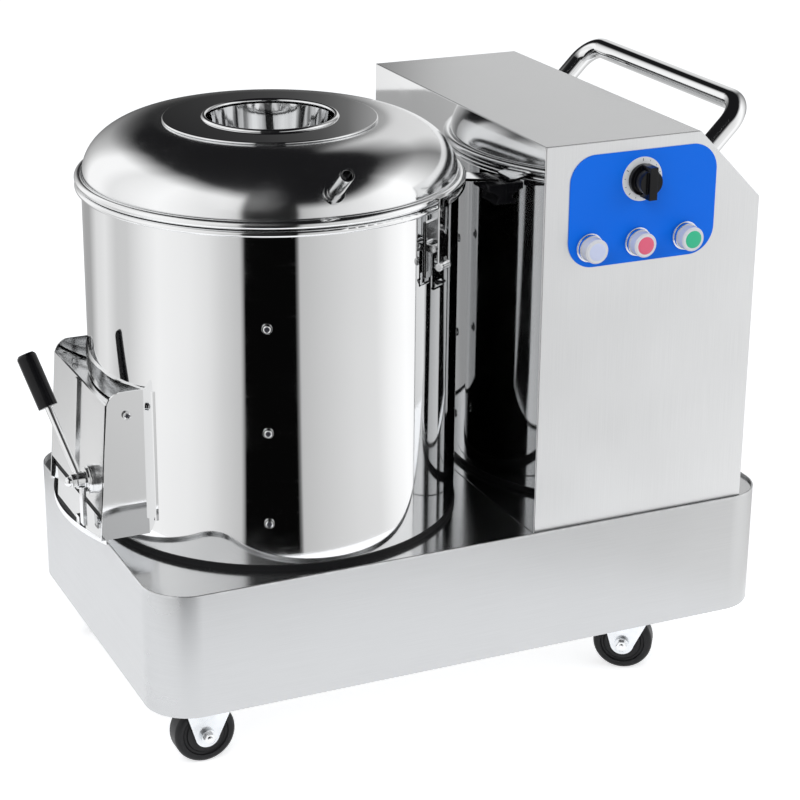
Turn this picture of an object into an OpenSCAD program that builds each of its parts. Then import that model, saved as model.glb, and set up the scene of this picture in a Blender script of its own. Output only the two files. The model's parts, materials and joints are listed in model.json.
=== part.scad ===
// Electric potato peeler on casters: a drum with a spun lid and a side
// discharge door, beside a drive cabinet with timer and push buttons.
// Units are millimetres, up is positive Z, the floor is at zero height.

/* [Base] */
// length of the base skirt, left to right
base_length = 690; // [600:1:800]
// depth of the base skirt, front to back
base_depth = 420; // [380:1:500]
// outer radius of the upright corners
base_corner = 47; // [30:1:60]
// height of the lower edge of the skirt over the floor
skirt_bottom = 74; // [72:1:90]
// height of the upper edge of the skirt over the floor
skirt_top = 206; // [190:1:230]
// thickness of the folded sheet
sheet = 2; // [1:0.1:2.5]
// how far the deck lies below the upper edge
deck_drop = 3; // [2:0.5:6]
// thickness of the deck plate
deck_thick = 3; // [2:0.5:5]
// how far the underside plate lies above the lower edge
floor_rise = 12; // [10:0.5:20]
// thickness of the underside plate
floor_thick = 3; // [2:0.5:5]

/* [Casters] */
// distance of the left swivel axes from the middle of the base
caster_left_x = 272; // [240:1:280]
// distance of the right swivel axes from the middle of the base
caster_right_x = 217; // [190:1:260]
// distance of the swivel axes in from the front and back faces of the skirt
caster_inset = 52; // [45:1:70]
// radius of the caster wheel
wheel_radius = 32; // [28:0.5:33]
// width of the caster wheel
wheel_width = 24; // [18:0.5:26]
// distance of the wheel axle from the swivel axis
caster_trail = 12; // [8:0.5:16]
// length of the square fixing plate
caster_plate = 66; // [56:1:72]
// thickness of the fixing plate
caster_plate_thick = 2.5; // [2:0.1:3]
// thickness of the fork sheet
fork_sheet = 2.5; // [2:0.1:3]
// swivel angle of the front left caster
swivel_front_left = 180; // [0:1:360]
// swivel angle of the front right caster
swivel_front_right = 145; // [0:1:360]
// swivel angle of the back left caster
swivel_back_left = 180; // [0:1:360]
// swivel angle of the back right caster
swivel_back_right = 160; // [0:1:360]

/* [Drum] */
// drum axis, distance to the left of the middle of the base
drum_left = 142.5; // [130:0.5:150]
// how far drum and cabinet stand in front of the middle line
upper_forward = 4; // [0:0.5:8]
// outer radius of the drum wall
drum_radius = 190; // [180:0.5:195]
// thickness of the drum wall
drum_wall = 2; // [1.5:0.1:3]
// height of the black foot gasket
gasket_height = 6; // [4:0.5:8]
// width of the foot gasket
gasket_width = 12; // [8:0.5:16]
// how far the gasket stands out past the wall
gasket_proud = 1; // [0.5:0.5:4]
// height of the drum from its floor to the middle of the rolled edge
drum_height = 340; // [320:1:370]
// radius of the rolled edge tube of the drum
drum_bead = 3.2; // [2.5:0.1:4]
// how far the rolled edge stands out past the wall
drum_bead_out = 6.6; // [5:0.1:8]
// thickness of the drum floor
drum_floor = 3; // [2:0.5:5]
// thickness of the abrasive liner
liner_thick = 3; // [2:0.5:4]
// height of the lower edge of the liner over the drum floor
liner_low = 46; // [44:1:60]
// height of the abrasive liner
liner_height = 216; // [180:1:260]
// compass angle of the visible rivet column
rivet_angle = -113; // [-125:1:-100]
// height of the lowest rivet over the drum floor
rivet_low = 45; // [40:1:60]
// height of the middle rivet over the drum floor
rivet_middle = 140; // [120:1:160]
// height of the highest rivet over the drum floor
rivet_high = 246; // [220:1:260]
// radius of a rivet head
rivet_radius = 5; // [4:0.5:6]
// thickness of a rivet head
rivet_head = 1.8; // [1.2:0.1:2.5]

/* [Lid] */
// radius of the rolled edge tube of the lid
lid_bead = 4.2; // [3.5:0.1:5]
// outer radius of the rolled edge of the lid
lid_bead_out = 196.8; // [190:0.1:200]
// radius of the foot of the dome
dome_foot = 189; // [185:0.5:190]
// height of the curved part of the dome
dome_rise = 52; // [40:1:60]
// how far the curve of the dome reaches inward
dome_reach = 74; // [60:1:85]
// height of the straight band under the curve
dome_band = 5; // [3:0.5:8]
// sheet thickness of the lid
lid_sheet = 2; // [1.5:0.1:2.5]
// radius of the raised plate of the feed mouth
mouth_plate = 108; // [100:0.5:110]
// thickness of the raised plate
mouth_plate_thick = 2.4; // [2:0.1:4]
// outer radius of the rolled lip of the mouth
mouth_lip = 69; // [60:0.5:75]
// radius of the lip tube
mouth_lip_tube = 2.6; // [2:0.1:4]
// depth of the feed throat
mouth_depth = 52; // [40:1:70]
// how much the throat narrows toward its foot
mouth_taper = 5; // [2:0.5:8]
// height of the lid seal
seal_height = 2.5; // [2:0.1:3]
// compass angle of the water inlet
inlet_angle = -92.7; // [-100:0.1:-85]
// rise of the water inlet above level
inlet_rise = 37.4; // [30:0.1:45]
// outer radius of the water inlet tube
inlet_radius = 7; // [6:0.5:8]
// bore radius of the water inlet tube
inlet_bore = 5; // [4:0.5:5.5]
// length of the inlet tube outside the lid
inlet_length = 45; // [35:1:55]
// radius of the inlet collar
inlet_collar = 10.5; // [9:0.5:12]
// thickness of the inlet collar
inlet_collar_thick = 3; // [2:0.5:4]
// compass angle of the interlock tab
tab_angle = -27; // [-32:1:-22]
// width of the interlock tab
tab_width = 24; // [18:1:28]
// thickness of the interlock tab
tab_thick = 3; // [2:0.5:4]

/* [Discharge spout] */
// half the distance between the cheek outer faces
cheek_half = 88; // [84:0.5:92]
// height of the cheek top over the drum floor
cheek_top = 169; // [160:1:180]
// height of the cheek foot over the drum floor
cheek_foot = 16; // [12:0.5:18]
// reach of the cheeks from the drum axis at the top
cheek_reach = 208; // [204:0.5:214]
// added reach of the cheeks at the foot
cheek_flare = 10.5; // [6:0.5:12]
// radius of the upper outer corner of the cheeks
cheek_round = 15; // [10:0.5:20]
// reach of the tray from the drum axis
tray_reach = 231; // [226:0.5:234]
// height of the tray over the drum floor
tray_height = 15; // [13:0.5:17]
// height of the riser above the tray
riser_height = 18; // [14:0.5:20]
// width of the fixing flanges on the drum
flange_width = 11; // [8:0.5:14]

/* [Door and lever] */
// height of the door foot over the drum floor
door_foot = 43; // [40:0.5:46]
// height of the door top over the drum floor
door_top = 157; // [150:0.5:160]
// height of the door pivot over the drum floor
pivot_height = 145; // [140:0.5:148]
// distance of the door pivot from the drum axis
pivot_reach = 188; // [186:0.5:190]
// radius of the pivot screw shank
pivot_shank = 3; // [2.5:0.1:4]
// radius of the pivot screw head
pivot_head = 4.5; // [4:0.1:6]
// thickness of the pivot screw head
pivot_head_thick = 2.4; // [2:0.1:4]
// width of the folded rib on the door
rib_width = 6; // [4:0.5:8]
// how far the rib stands out
rib_proud = 2.5; // [2:0.5:4]
// sideways place of the lever stud, toward the front
stud_side = 52.5; // [44:0.5:58]
// height of the lever stud over the drum floor
stud_height = 69.5; // [64:0.5:74]
// radius of the lever stud
stud_radius = 4; // [3:0.5:5]
// radius of the washers
washer_radius = 15; // [12:0.5:17]
// thickness of the washer stack
washer_thick = 5; // [4:0.5:6]
// radius of the lever hub
hub_radius = 8.5; // [8:0.5:11]
// thickness of the lever hub
hub_thick = 8; // [7:0.5:10]
// radius of the lever rod
rod_radius = 3.9; // [3:0.1:4]
// length of the bare rod
rod_length = 79; // [70:1:100]
// radius of the lever grip
grip_radius = 10; // [8:0.5:12]
// length of the lever grip
grip_length = 57; // [50:1:80]
// outward lean of the lever
lever_lean = 13.5; // [8:0.5:16]
// sideways tilt of the lever at rest
lever_side = 29; // [20:1:40]
// length of the catch arm below the hub
catch_length = 48; // [44:0.5:49]
// width of the catch arm
catch_width = 10; // [8:0.5:12]

/* [Latches] */
// compass angle of the front latch
latch_angle = -57; // [-65:1:-50]
// half the width of the latch plates
latch_half = 8.5; // [7:0.5:10]
// height of the base plate of a latch
latch_plate = 56; // [50:1:60]
// drop of the latch lever pivot below the lid bead
latch_drop = 45; // [40:0.5:50]
// distance of the claw pivot from the lever pivot
latch_arm = 18; // [15:0.5:20]
// length of the latch lever below its pivot
latch_lever_length = 42; // [36:1:48]
// thickness of latch sheet
latch_sheet = 2; // [1.5:0.1:2.5]
// radius of the latch pins
latch_pin = 2; // [1.5:0.1:2.5]

/* [Cabinet] */
// left wall of the cabinet from the middle of the base
cabinet_left = 63; // [60:1:70]
// width of the cabinet
cabinet_width = 246; // [230:1:260]
// how much less deep than the base skirt the cabinet is
cabinet_less = 16; // [10:1:40]
// height of the cabinet over the deck
cabinet_height = 406; // [390:1:420]
// width of the sloped face
slope_width = 73; // [60:1:90]
// height of the sloped face
slope_height = 74; // [60:1:90]
// length of the interlock switch
switch_length = 36; // [30:1:40]
// depth of the interlock switch
switch_depth = 19; // [14:1:22]
// height of the interlock switch
switch_height = 21; // [16:1:26]
// number of vent slots in the back panel
vent_count = 7; // [4:1:9]
// length of a vent slot
vent_length = 120; // [80:1:150]
// height of a vent slot
vent_height = 6; // [4:0.5:8]
// pitch of the vent slots
vent_pitch = 18; // [14:1:24]

/* [Controls] */
// width of the control label
label_width = 166; // [150:1:170]
// height of the control label
label_height = 114; // [100:1:120]
// corner radius of the control label
label_corner = 28; // [20:1:34]
// thickness of the control label
label_thick = 1; // [0.6:0.1:1.2]
// distance of the label middle from the left wall
label_x = 109.5; // [100:0.5:115]
// distance of the label middle below the cabinet top
label_drop = 69; // [60:1:75]
// radius of the timer dial
dial_radius = 22.4; // [20:0.2:26]
// thickness of the timer dial
dial_thick = 0.8; // [0.5:0.1:1.2]
// sideways place of the dial from the label middle
dial_x = -3; // [-10:0.5:10]
// height of the dial above the label middle
dial_up = 27.7; // [24:0.1:32]
// radius of the knob skirt
knob_radius = 16; // [14:0.5:18]
// depth of the knob skirt
knob_skirt = 5; // [4:0.5:6]
// radius of the knob body
knob_body = 12.5; // [11:0.5:14]
// full depth of the knob
knob_depth = 22; // [18:0.5:26]
// width of the knob bar
knob_bar = 9; // [7:0.5:11]
// length of the knob bar
knob_bar_length = 33; // [28:0.5:36]
// pitch of the push buttons
button_pitch = 54.5; // [50:0.5:60]
// distance of the button row below the label middle
button_down = 35.5; // [30:0.5:40]
// sideways place of the button row from the label middle
button_x = -6; // [-8:0.5:5]
// radius of the button collars
collar_radius = 14.6; // [13:0.1:16]
// depth of the button collars
collar_depth = 8; // [6:0.5:10]
// radius of the button caps
cap_radius = 12.4; // [11:0.1:13]
// how far the caps stand out of the collars
cap_out = 11; // [8:0.5:12]
// push travel of the buttons
button_travel = 3; // [2:0.5:4]

/* [Handle] */
// distance between the two legs of the handle
handle_width = 316; // [280:1:340]
// radius of the handle tube
handle_tube = 11; // [9:0.5:13]
// wall thickness of the handle tube
handle_wall = 2; // [1.5:0.1:3]
// distance of the grip bar from the sloped face
handle_stand = 62; // [50:1:80]
// bend radius of the handle tube
handle_bend = 26; // [22:1:32]
// distance of the legs down the sloped face
handle_down = 48; // [40:1:60]
// radius of the handle flanges
handle_flange = 20; // [16:1:24]
// thickness of the handle flanges
handle_flange_thick = 4; // [3:0.5:6]

/* [Drive] */
// radius of the peeling disc
disc_radius = 180; // [170:0.5:182]
// thickness of the peeling disc
disc_thick = 7; // [5:0.5:10]
// height of the disc underside over the drum floor
disc_height = 19; // [16:0.5:24]
// radius of the main shaft
shaft_radius = 12.5; // [10:0.5:15]
// radius of the driven pulley
pulley_big = 120; // [100:1:130]
// radius of the motor pulley
pulley_small = 35; // [30:1:45]
// width of the pulleys
pulley_width = 20; // [18:0.5:26]
// height of the pulleys over the underside plate
pulley_rise = 24; // [20:1:40]
// depth of the belt groove
groove_depth = 12; // [10:0.5:14]
// outer width of the belt groove
groove_top = 14; // [12:0.5:16]
// inner width of the belt groove
groove_foot = 9; // [8:0.5:11]
// thickness of the drive belt
belt_thick = 8; // [7:0.5:9]
// height of the drive belt
belt_height = 8.4; // [7:0.1:9]
// outer radius of the bearings
bearing_radius = 26; // [24:0.5:30]
// height of a bearing
bearing_height = 14; // [12:0.5:16]
// outer radius of the bearing housing
housing_radius = 38; // [34:0.5:44]
// radius of the housing flange
housing_flange = 65; // [55:1:75]
// radius of the motor body
motor_radius = 76; // [65:1:85]
// height of the motor body
motor_height = 200; // [170:1:230]
// distance of the motor axis right of the middle of the base
motor_x = 186; // [175:1:190]
// radius of the motor shaft
motor_shaft_radius = 9.5; // [8:0.5:12]
// outer radius of the drain pipe
drain_radius = 20; // [16:0.5:24]
// wall thickness of the drain pipe
drain_wall = 2; // [1.5:0.1:3]
// distance of the drain from the drum axis
drain_reach = 150; // [148:1:155]
// how far the drain stands out at the back
drain_out = 24; // [18:1:40]

/* [Fits] */
// clearance between parts that move past each other
gap = 0.3; // [0.2:0.05:0.5]
// clearance of a shaft that turns in a bore
running_fit = 0.05; // [0.02:0.01:0.1]
// overrun of every cut
cut_over = 1; // [0.5:0.1:2]
// radius of the machine screws
screw_radius = 3; // [2:0.1:3.5]
// radius of the screw heads
screw_head = 5.5; // [4.5:0.1:6]
// thickness of the screw heads
screw_head_thick = 3; // [2:0.1:4]

/* [Hidden] */
$fn = 96;
fine = 360;
full_turn = 360;
right_angle = 90;
half_turn = 180;
thirds = [0, 120, 240];
sides = [-1, 1];

// levels of the base
deck_top = skirt_top - deck_drop;
deck_low = deck_top - deck_thick;
floor_low = skirt_bottom + floor_rise;
floor_top = floor_low + floor_thick;

// drum levels, all from the drum foot
drum_x = -drum_left;
drum_y = -upper_forward;
drum_foot = deck_top + gasket_height;
drum_in = drum_radius - drum_wall;
drum_edge = drum_foot + drum_height;
drum_edge_ring = drum_radius + drum_bead_out - drum_bead;
rim_top = drum_edge + drum_bead;

// lid levels
lid_low = rim_top + gap;
lid_flange_low = lid_low + seal_height;
lid_bead_z = rim_top + gap * 2 + lid_bead;
lid_bead_ring = lid_bead_out - lid_bead;
lid_flange_top = lid_flange_low + lid_sheet;
dome_base = lid_flange_low + dome_band;
dome_centre = dome_foot - dome_reach;
spigot_in = drum_in - gap - lid_sheet;
dome_top = dome_base + dome_rise;
mouth_top = dome_top + mouth_plate_thick;
mouth_ring = mouth_lip - mouth_lip_tube;
mouth_hole = mouth_ring + mouth_lip_tube / 2;

// points round the quarter curve of the dome, as angles
dome_steps = 24;

// place of the water inlet on the dome
inlet_t = 24.5;
inlet_r = dome_centre + dome_reach * cos(inlet_t);
inlet_z = dome_base + dome_rise * sin(inlet_t);

// the spout and the door
spout_top = drum_foot + cheek_top;
spout_foot = drum_foot + cheek_foot;
cheek_in = cheek_half - sheet;
tray_z = drum_foot + tray_height;
riser_top = tray_z + riser_height;
riser_reach = cheek_reach + cheek_flare * 0.62;
door_low = drum_foot + door_foot;
door_high = drum_foot + door_top;
door_half = cheek_in - sheet / 2;
pivot_z = drum_foot + pivot_height;
opening_half = cheek_in - sheet * 3;
opening_low = door_low - sheet;
opening_high = pivot_z - sheet / 2;
keeper_in = (tray_reach - drum_radius) * 0.1;
plug_half = opening_half - sheet / 2;
plug_low = opening_low + sheet * 1.5;
plug_high = opening_high - sheet;
spout_span = spout_top - spout_foot;

// reach of the cheek edge and of the door skin at a height
function edge_reach(z) = cheek_reach + cheek_flare * (spout_top - z) / spout_span;

// the lever, its stud and the wheel levels
stud_z = drum_foot + stud_height;
stud_y = -stud_side;
stud_face = edge_reach(stud_z);
boss_end = stud_face + sheet * 1.5;
washer_end = boss_end + washer_thick;
hub_start = washer_end + gap;
hub_end = hub_start + hub_thick;
nut_start = hub_end + gap;
nut_length = hub_radius;
rod_start = hub_start + hub_thick / 2;
grip_end = rod_length + grip_length;

// the latches
latch_pivot_r = drum_radius + sheet * 4.2;
latch_pivot_z = lid_bead_z - latch_drop;
latch_knuckle = latch_pin * 1.9;
claw_pivot_r = latch_pivot_r + latch_pin * 3;
claw_pivot_z = latch_pivot_z - latch_arm;
claw_in = lid_bead_out + latch_sheet * 3.5;
claw_top = lid_bead_z + lid_bead + latch_sheet;

// the cabinet
cabinet_right = cabinet_left + cabinet_width;
cabinet_depth = base_depth - cabinet_less;
cabinet_front_y = drum_y - cabinet_depth / 2;
cabinet_back_y = drum_y + cabinet_depth / 2;
cabinet_top = deck_top + cabinet_height;
slope_x = cabinet_right - slope_width;
slope_z = cabinet_top - slope_height;
slope_angle = atan2(slope_height, slope_width);
label_cx = cabinet_left + label_x;
label_cz = cabinet_top - label_drop;
panel_face = cabinet_front_y - label_thick;
button_z = label_cz - button_down;
cap_hole = cap_radius + running_fit;
button_neck = cap_radius - sheet * 2;
tab_z = lid_bead_z - tab_thick;
tab_end = cabinet_left - sheet * 3;
switch_y = drum_y + sin(tab_angle) * (tab_end - drum_x) / cos(tab_angle);
switch_top = tab_z - gap * 4;

// the handle
leg_slope_x = slope_x + handle_down * cos(slope_angle);
leg_slope_z = cabinet_top - handle_down * sin(slope_angle);

// the drive
pulley_z = floor_top + pulley_rise;
pulley_mid = pulley_z + pulley_width / 2;
belt_big = pulley_big - groove_depth + sheet;
belt_small = pulley_small - groove_depth + sheet;
drive_span = motor_x - drum_x;
shaft_low = pulley_z - sheet * 2;
disc_low = drum_foot + disc_height;
hub_low = drum_foot + drum_floor * 2 + sheet * 1.5;
shaft_top = disc_low;
housing_low = pulley_z + pulley_width + sheet * 4;
motor_y = drum_y;
drain_z = pulley_z + pulley_width + drain_radius + sheet * 4;
drain_inner = drain_radius - drain_wall;
drain_x = drum_x;
drain_y = drum_y + drain_reach;

// the casters
caster_y = base_depth / 2 - caster_inset;
axle_z = wheel_radius;
crown_low = wheel_radius * 2 + sheet * 2.5;
crown_top = crown_low + fork_sheet;
cup_top = floor_low - caster_plate_thick - gap;
fork_in = wheel_width / 2 + sheet;
fork_out = fork_in + fork_sheet;
fork_hub = wheel_radius * 0.4;
axle_radius = wheel_radius * 0.13;
kingpin = caster_plate_thick * 2;

// the box around the whole machine is centred on the origin
grip_left = -drum_x + rod_start + grip_end * sin(lever_lean) + grip_radius * cos(lever_lean);
right_reach = base_length / 2;
mid_x = (right_reach - grip_left) / 2;
front_reach = -panel_face + dial_thick + gap + knob_depth;
back_reach = base_depth / 2 + drain_out;
mid_y = (back_reach - front_reach) / 2;

// colours
steel = [0.78, 0.79, 0.8];
bright = [0.86, 0.87, 0.88];
dark = [0.12, 0.12, 0.13];

module placed() {
    translate([-mid_x, -mid_y, 0]) children();
}

module on_drum() {
    placed() translate([drum_x, drum_y, 0]) children();
}

module rounded(length, depth, corner) {
    union() {
        square([length - corner * 2, depth], center = true);
        square([length, depth - corner * 2], center = true);
        for (sx = sides)
            for (sy = sides)
                translate([sx * (length / 2 - corner), sy * (depth / 2 - corner)])
                    circle(r = corner);
    }
}

module ring(outer, inner, height) {
    steps = outer > housing_flange ? fine : $fn;
    difference() {
        cylinder(r = outer, h = height, $fn = steps);
        translate([0, 0, -cut_over]) cylinder(r = inner, h = height + cut_over * 2, $fn = steps);
    }
}

// a rod that runs toward the left, from the drum axis outward
module leftward(radius, start, length, y, z) {
    translate([-start, y, z]) rotate([0, -right_angle, 0])
        cylinder(r = radius, h = length);
}

// a rod that runs from back to front
module frontward(radius, start, length, x, z) {
    translate([x, start, z]) rotate([right_angle, 0, 0])
        cylinder(r = radius, h = length);
}

// base and housing

module base_skirt() {
    color(steel) placed() difference() {
        translate([0, 0, skirt_bottom]) linear_extrude(skirt_top - skirt_bottom)
            rounded(base_length, base_depth, base_corner);
        translate([0, 0, skirt_bottom - cut_over])
            linear_extrude(skirt_top - skirt_bottom + cut_over * 2)
                rounded(base_length - sheet * 2, base_depth - sheet * 2, base_corner - sheet);
        frontward(drain_radius, base_depth / 2 + cut_over, sheet + cut_over * 2, drain_x, drain_z);
    }
}

module deck_plate() {
    color(steel) placed() difference() {
        translate([0, 0, deck_low]) linear_extrude(deck_thick)
            rounded(base_length - sheet * 2, base_depth - sheet * 2, base_corner - sheet);
        translate([drum_x, drum_y, deck_low - cut_over])
            cylinder(r = housing_radius, h = deck_thick + cut_over * 2);
        translate([motor_x, motor_y, deck_low - cut_over])
            cylinder(r = motor_shaft_radius * 2, h = deck_thick + cut_over * 2);
        translate([drain_x, drain_y, deck_low - cut_over])
            cylinder(r = drain_radius, h = deck_thick + cut_over * 2);
    }
}

module bottom_plate() {
    color(steel) placed() translate([0, 0, floor_low]) linear_extrude(floor_thick)
        rounded(base_length - sheet * 2, base_depth - sheet * 2, base_corner - sheet);
}

module at_casters() {
    for (sy = sides) {
        translate([-caster_left_x, sy * caster_y, 0]) children();
        translate([caster_right_x, sy * caster_y, 0]) children();
    }
}

module caster_plates() {
    color(bright) placed() at_casters() {
        translate([0, 0, floor_low - caster_plate_thick]) linear_extrude(caster_plate_thick)
            rounded(caster_plate, caster_plate, screw_head);
        translate([0, 0, crown_low - kingpin / 2])
            cylinder(r = kingpin, h = floor_low - caster_plate_thick - crown_low + kingpin / 2);
        translate([0, 0, crown_low - kingpin / 2 - gap])
            cylinder(r = kingpin * 1.6, h = kingpin / 2);
    }
}

module screw() {
    intersection() {
        translate([0, 0, -screw_head_thick]) cylinder(r = screw_head, h = screw_head_thick);
        translate([0, 0, screw_head]) sphere(r = screw_head * 1.6);
    }
}

module back_screw_places() {
    for (sx = [cabinet_left + screw_head * 3, slope_x - screw_head * 3])
        for (z = [deck_top + screw_head * 4, (deck_top + cabinet_top) / 2, cabinet_top - screw_head * 4])
            translate([sx, cabinet_back_y, z]) rotate([right_angle, 0, 0]) children();
}

module machine_screws() {
    plate_in = caster_plate / 2 - screw_head * 1.4;
    color(bright) placed() {
        at_casters() for (sx = sides) for (sy = sides)
            translate([sx * plate_in, sy * plate_in, floor_low - caster_plate_thick]) screw();
        back_screw_places() screw();
    }
}

// casters: the fork points to the right before it is swung round

module fork() {
    difference() {
        union() {
            translate([-fork_hub * 1.5, -fork_out, crown_low])
                cube([caster_trail + fork_hub * 3.4, fork_out * 2, fork_sheet]);
            translate([0, 0, crown_top]) cylinder(r = fork_out * 1.15, h = cup_top - crown_top);
            for (sy = sides) translate([0, sy * (fork_in + fork_out) / 2, 0])
                rotate([right_angle, 0, 0])
                    linear_extrude(fork_sheet, center = true) fork_side();
        }
        translate([0, 0, crown_low - cut_over])
            cylinder(r = kingpin + running_fit, h = cup_top - crown_low + cut_over * 2);
    }
    translate([caster_trail, fork_out, axle_z]) rotate([right_angle, 0, 0])
        cylinder(r = axle_radius, h = fork_out * 2);
    for (sy = sides) translate([caster_trail, sy * (fork_out + axle_radius / 2), axle_z])
        rotate([right_angle, 0, 0]) cylinder(r = axle_radius * 1.9, h = axle_radius, center = true);
}

module fork_side() {
    translate([caster_trail, axle_z]) circle(r = fork_hub);
    polygon([[-fork_hub * 1.5, crown_top], [-fork_hub * 1.5, crown_low],
        [caster_trail - fork_hub * 0.98, axle_z - fork_hub * 0.2],
        [caster_trail + fork_hub * 0.98, axle_z - fork_hub * 0.2],
        [caster_trail + fork_hub * 1.9, crown_low], [caster_trail + fork_hub * 1.9, crown_top]]);
}

module wheel() {
    half = wheel_width / 2;
    soft = wheel_width * 0.22;
    translate([caster_trail, 0, axle_z]) rotate([right_angle, 0, 0]) rotate_extrude() {
        difference() {
            union() {
                translate([axle_radius + running_fit, -half])
                    square([wheel_radius - soft - axle_radius - running_fit, wheel_width]);
                translate([axle_radius + running_fit, soft - half])
                    square([wheel_radius - axle_radius - running_fit, wheel_width - soft * 2]);
                for (s = sides) translate([wheel_radius - soft, s * (half - soft)]) circle(r = soft);
            }
            for (s = sides) translate([wheel_radius * 0.68, s * half])
                circle(r = soft * 0.42);
        }
    }
}

module caster_at(sx, sy, swing) {
    placed() translate([sx, sy * caster_y, 0]) rotate([0, 0, swing]) children();
}

module caster_fork_fl() {
    color(bright) caster_at(-caster_left_x, -1, swivel_front_left) fork();
}

module caster_wheel_fl() {
    color(dark) caster_at(-caster_left_x, -1, swivel_front_left) wheel();
}

module caster_fork_fr() {
    color(bright) caster_at(caster_right_x, -1, swivel_front_right) fork();
}

module caster_wheel_fr() {
    color(dark) caster_at(caster_right_x, -1, swivel_front_right) wheel();
}

module caster_fork_bl() {
    color(bright) caster_at(-caster_left_x, 1, swivel_back_left) fork();
}

module caster_wheel_bl() {
    color(dark) caster_at(-caster_left_x, 1, swivel_back_left) wheel();
}

module caster_fork_br() {
    color(bright) caster_at(caster_right_x, 1, swivel_back_right) fork();
}

module caster_wheel_br() {
    color(dark) caster_at(caster_right_x, 1, swivel_back_right) wheel();
}

// drum

module discharge_cut() {
    translate([-drum_radius - cut_over, -opening_half, opening_low])
        cube([drum_radius / 2, opening_half * 2, opening_high - opening_low]);
}

module at_rivets() {
    for (turn = thirds)
        for (z = [rivet_low, rivet_middle, rivet_high])
            rotate([0, 0, rivet_angle + turn]) translate([0, 0, drum_foot + z])
                rotate([0, right_angle, 0]) children();
}

module drum_shell() {
    color(bright) on_drum() difference() {
        union() {
            translate([0, 0, drum_foot]) ring(drum_radius, drum_in, drum_height);
            translate([0, 0, drum_foot]) cylinder(r = drum_radius, h = drum_floor);
            rotate_extrude() {
                translate([drum_edge_ring, drum_edge]) circle(r = drum_bead);
                translate([drum_in, drum_edge])
                    square([drum_edge_ring - drum_in, drum_bead]);
            }
        }
        discharge_cut();
        translate([0, 0, drum_foot - cut_over])
            cylinder(r = shaft_radius * 1.8, h = drum_floor + cut_over * 2);
        translate([0, drain_reach, drum_foot - cut_over])
            cylinder(r = drain_inner, h = drum_floor + cut_over * 2);
        at_rivets() cylinder(r = rivet_radius / 2, h = drum_radius + cut_over);
    }
}

module drum_gasket() {
    color(dark) on_drum() translate([0, 0, deck_top])
        ring(drum_radius + gasket_proud, drum_radius + gasket_proud - gasket_width, gasket_height);
}

module liner_rivets() {
    color(bright) on_drum() {
        at_rivets() translate([0, 0, drum_in - liner_thick - rivet_head / 2])
            cylinder(r = rivet_radius / 2, h = drum_wall + liner_thick + rivet_head);
        difference() {
            at_rivets() translate([0, 0, drum_radius - rivet_head])
                cylinder(r = rivet_radius, h = rivet_head * 2);
            cylinder(r = drum_radius, h = drum_edge, $fn = fine);
        }
        intersection() {
            at_rivets() translate([0, 0, drum_in - liner_thick - rivet_head])
                cylinder(r = rivet_radius, h = rivet_head * 2);
            cylinder(r = drum_in - liner_thick, h = drum_edge, $fn = fine);
        }
    }
}

module abrasive_liner() {
    color([0.35, 0.34, 0.33]) on_drum() difference() {
        translate([0, 0, drum_foot + liner_low - sheet * 3])
            ring(drum_in, drum_in - liner_thick, liner_height);
        translate([-drum_radius, -opening_half - sheet, drum_foot])
            cube([drum_radius / 2, (opening_half + sheet) * 2, opening_high - drum_foot + sheet]);
        at_rivets() cylinder(r = rivet_radius / 2, h = drum_radius + cut_over);
    }
}

// discharge spout, door and lever: they stand on the left side of the drum

module cheek_profile() {
    difference() {
        polygon([[-drum_radius / 2, spout_foot], [-drum_radius / 2, spout_top],
            [-cheek_reach + cheek_round, spout_top],
            [-cheek_reach + cheek_round * 0.3, spout_top - cheek_round * 0.3],
            [-cheek_reach, spout_top - cheek_round],
            [-cheek_reach - cheek_flare, spout_foot]]);
    }
    translate([-cheek_reach + cheek_round, spout_top - cheek_round]) circle(r = cheek_round);
}

module cheeks() {
    for (s = sides) translate([0, s * (cheek_half - sheet / 2), 0])
        rotate([right_angle, 0, 0]) linear_extrude(sheet, center = true) cheek_profile();
}

module tray() {
    intersection() {
        translate([0, 0, tray_z]) ring(tray_reach, drum_radius, sheet);
        translate([-tray_reach, -cheek_in, tray_z]) cube([tray_reach / 2, cheek_in * 2, sheet]);
    }
    intersection() {
        translate([0, 0, tray_z - sheet * 2]) ring(tray_reach, tray_reach - sheet, sheet * 2.5);
        translate([-tray_reach, -cheek_half, tray_z - sheet * 2])
            cube([tray_reach / 2, cheek_half * 2, sheet * 2.5]);
    }
    translate([-riser_reach, -cheek_in, tray_z])
        cube([sheet, cheek_in * 2, riser_height]);
    difference() {
        translate([-riser_reach, -cheek_in, riser_top - sheet])
            cube([riser_reach / 2, cheek_in * 2, sheet]);
        translate([0, 0, riser_top - sheet * 2]) cylinder(r = drum_radius, h = sheet * 3, $fn = fine);
    }
}

module discharge_spout() {
    color(bright) on_drum() {
        difference() {
            cheeks();
            cylinder(r = drum_radius, h = drum_edge, $fn = fine);
            for (s = sides) translate([-pivot_reach, s * cheek_half, pivot_z])
                rotate([right_angle, 0, 0])
                    cylinder(r = pivot_shank, h = sheet * 3, center = true);
        }
        tray();
        intersection() {
            translate([0, 0, drum_foot]) ring(drum_radius + sheet, drum_radius, drum_edge - drum_foot);
            union() {
                for (s = sides) translate([-drum_radius, s * (cheek_half + flange_width / 2)
                    - flange_width / 2, riser_top])
                    cube([drum_radius / 2, flange_width, spout_top - riser_top]);
                translate([-drum_radius * 1.2, -cheek_in, pivot_z + sheet * 4])
                    cube([drum_radius / 2, cheek_in * 2, spout_top - pivot_z - sheet * 4]);
            }
        }
    }
}

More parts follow.
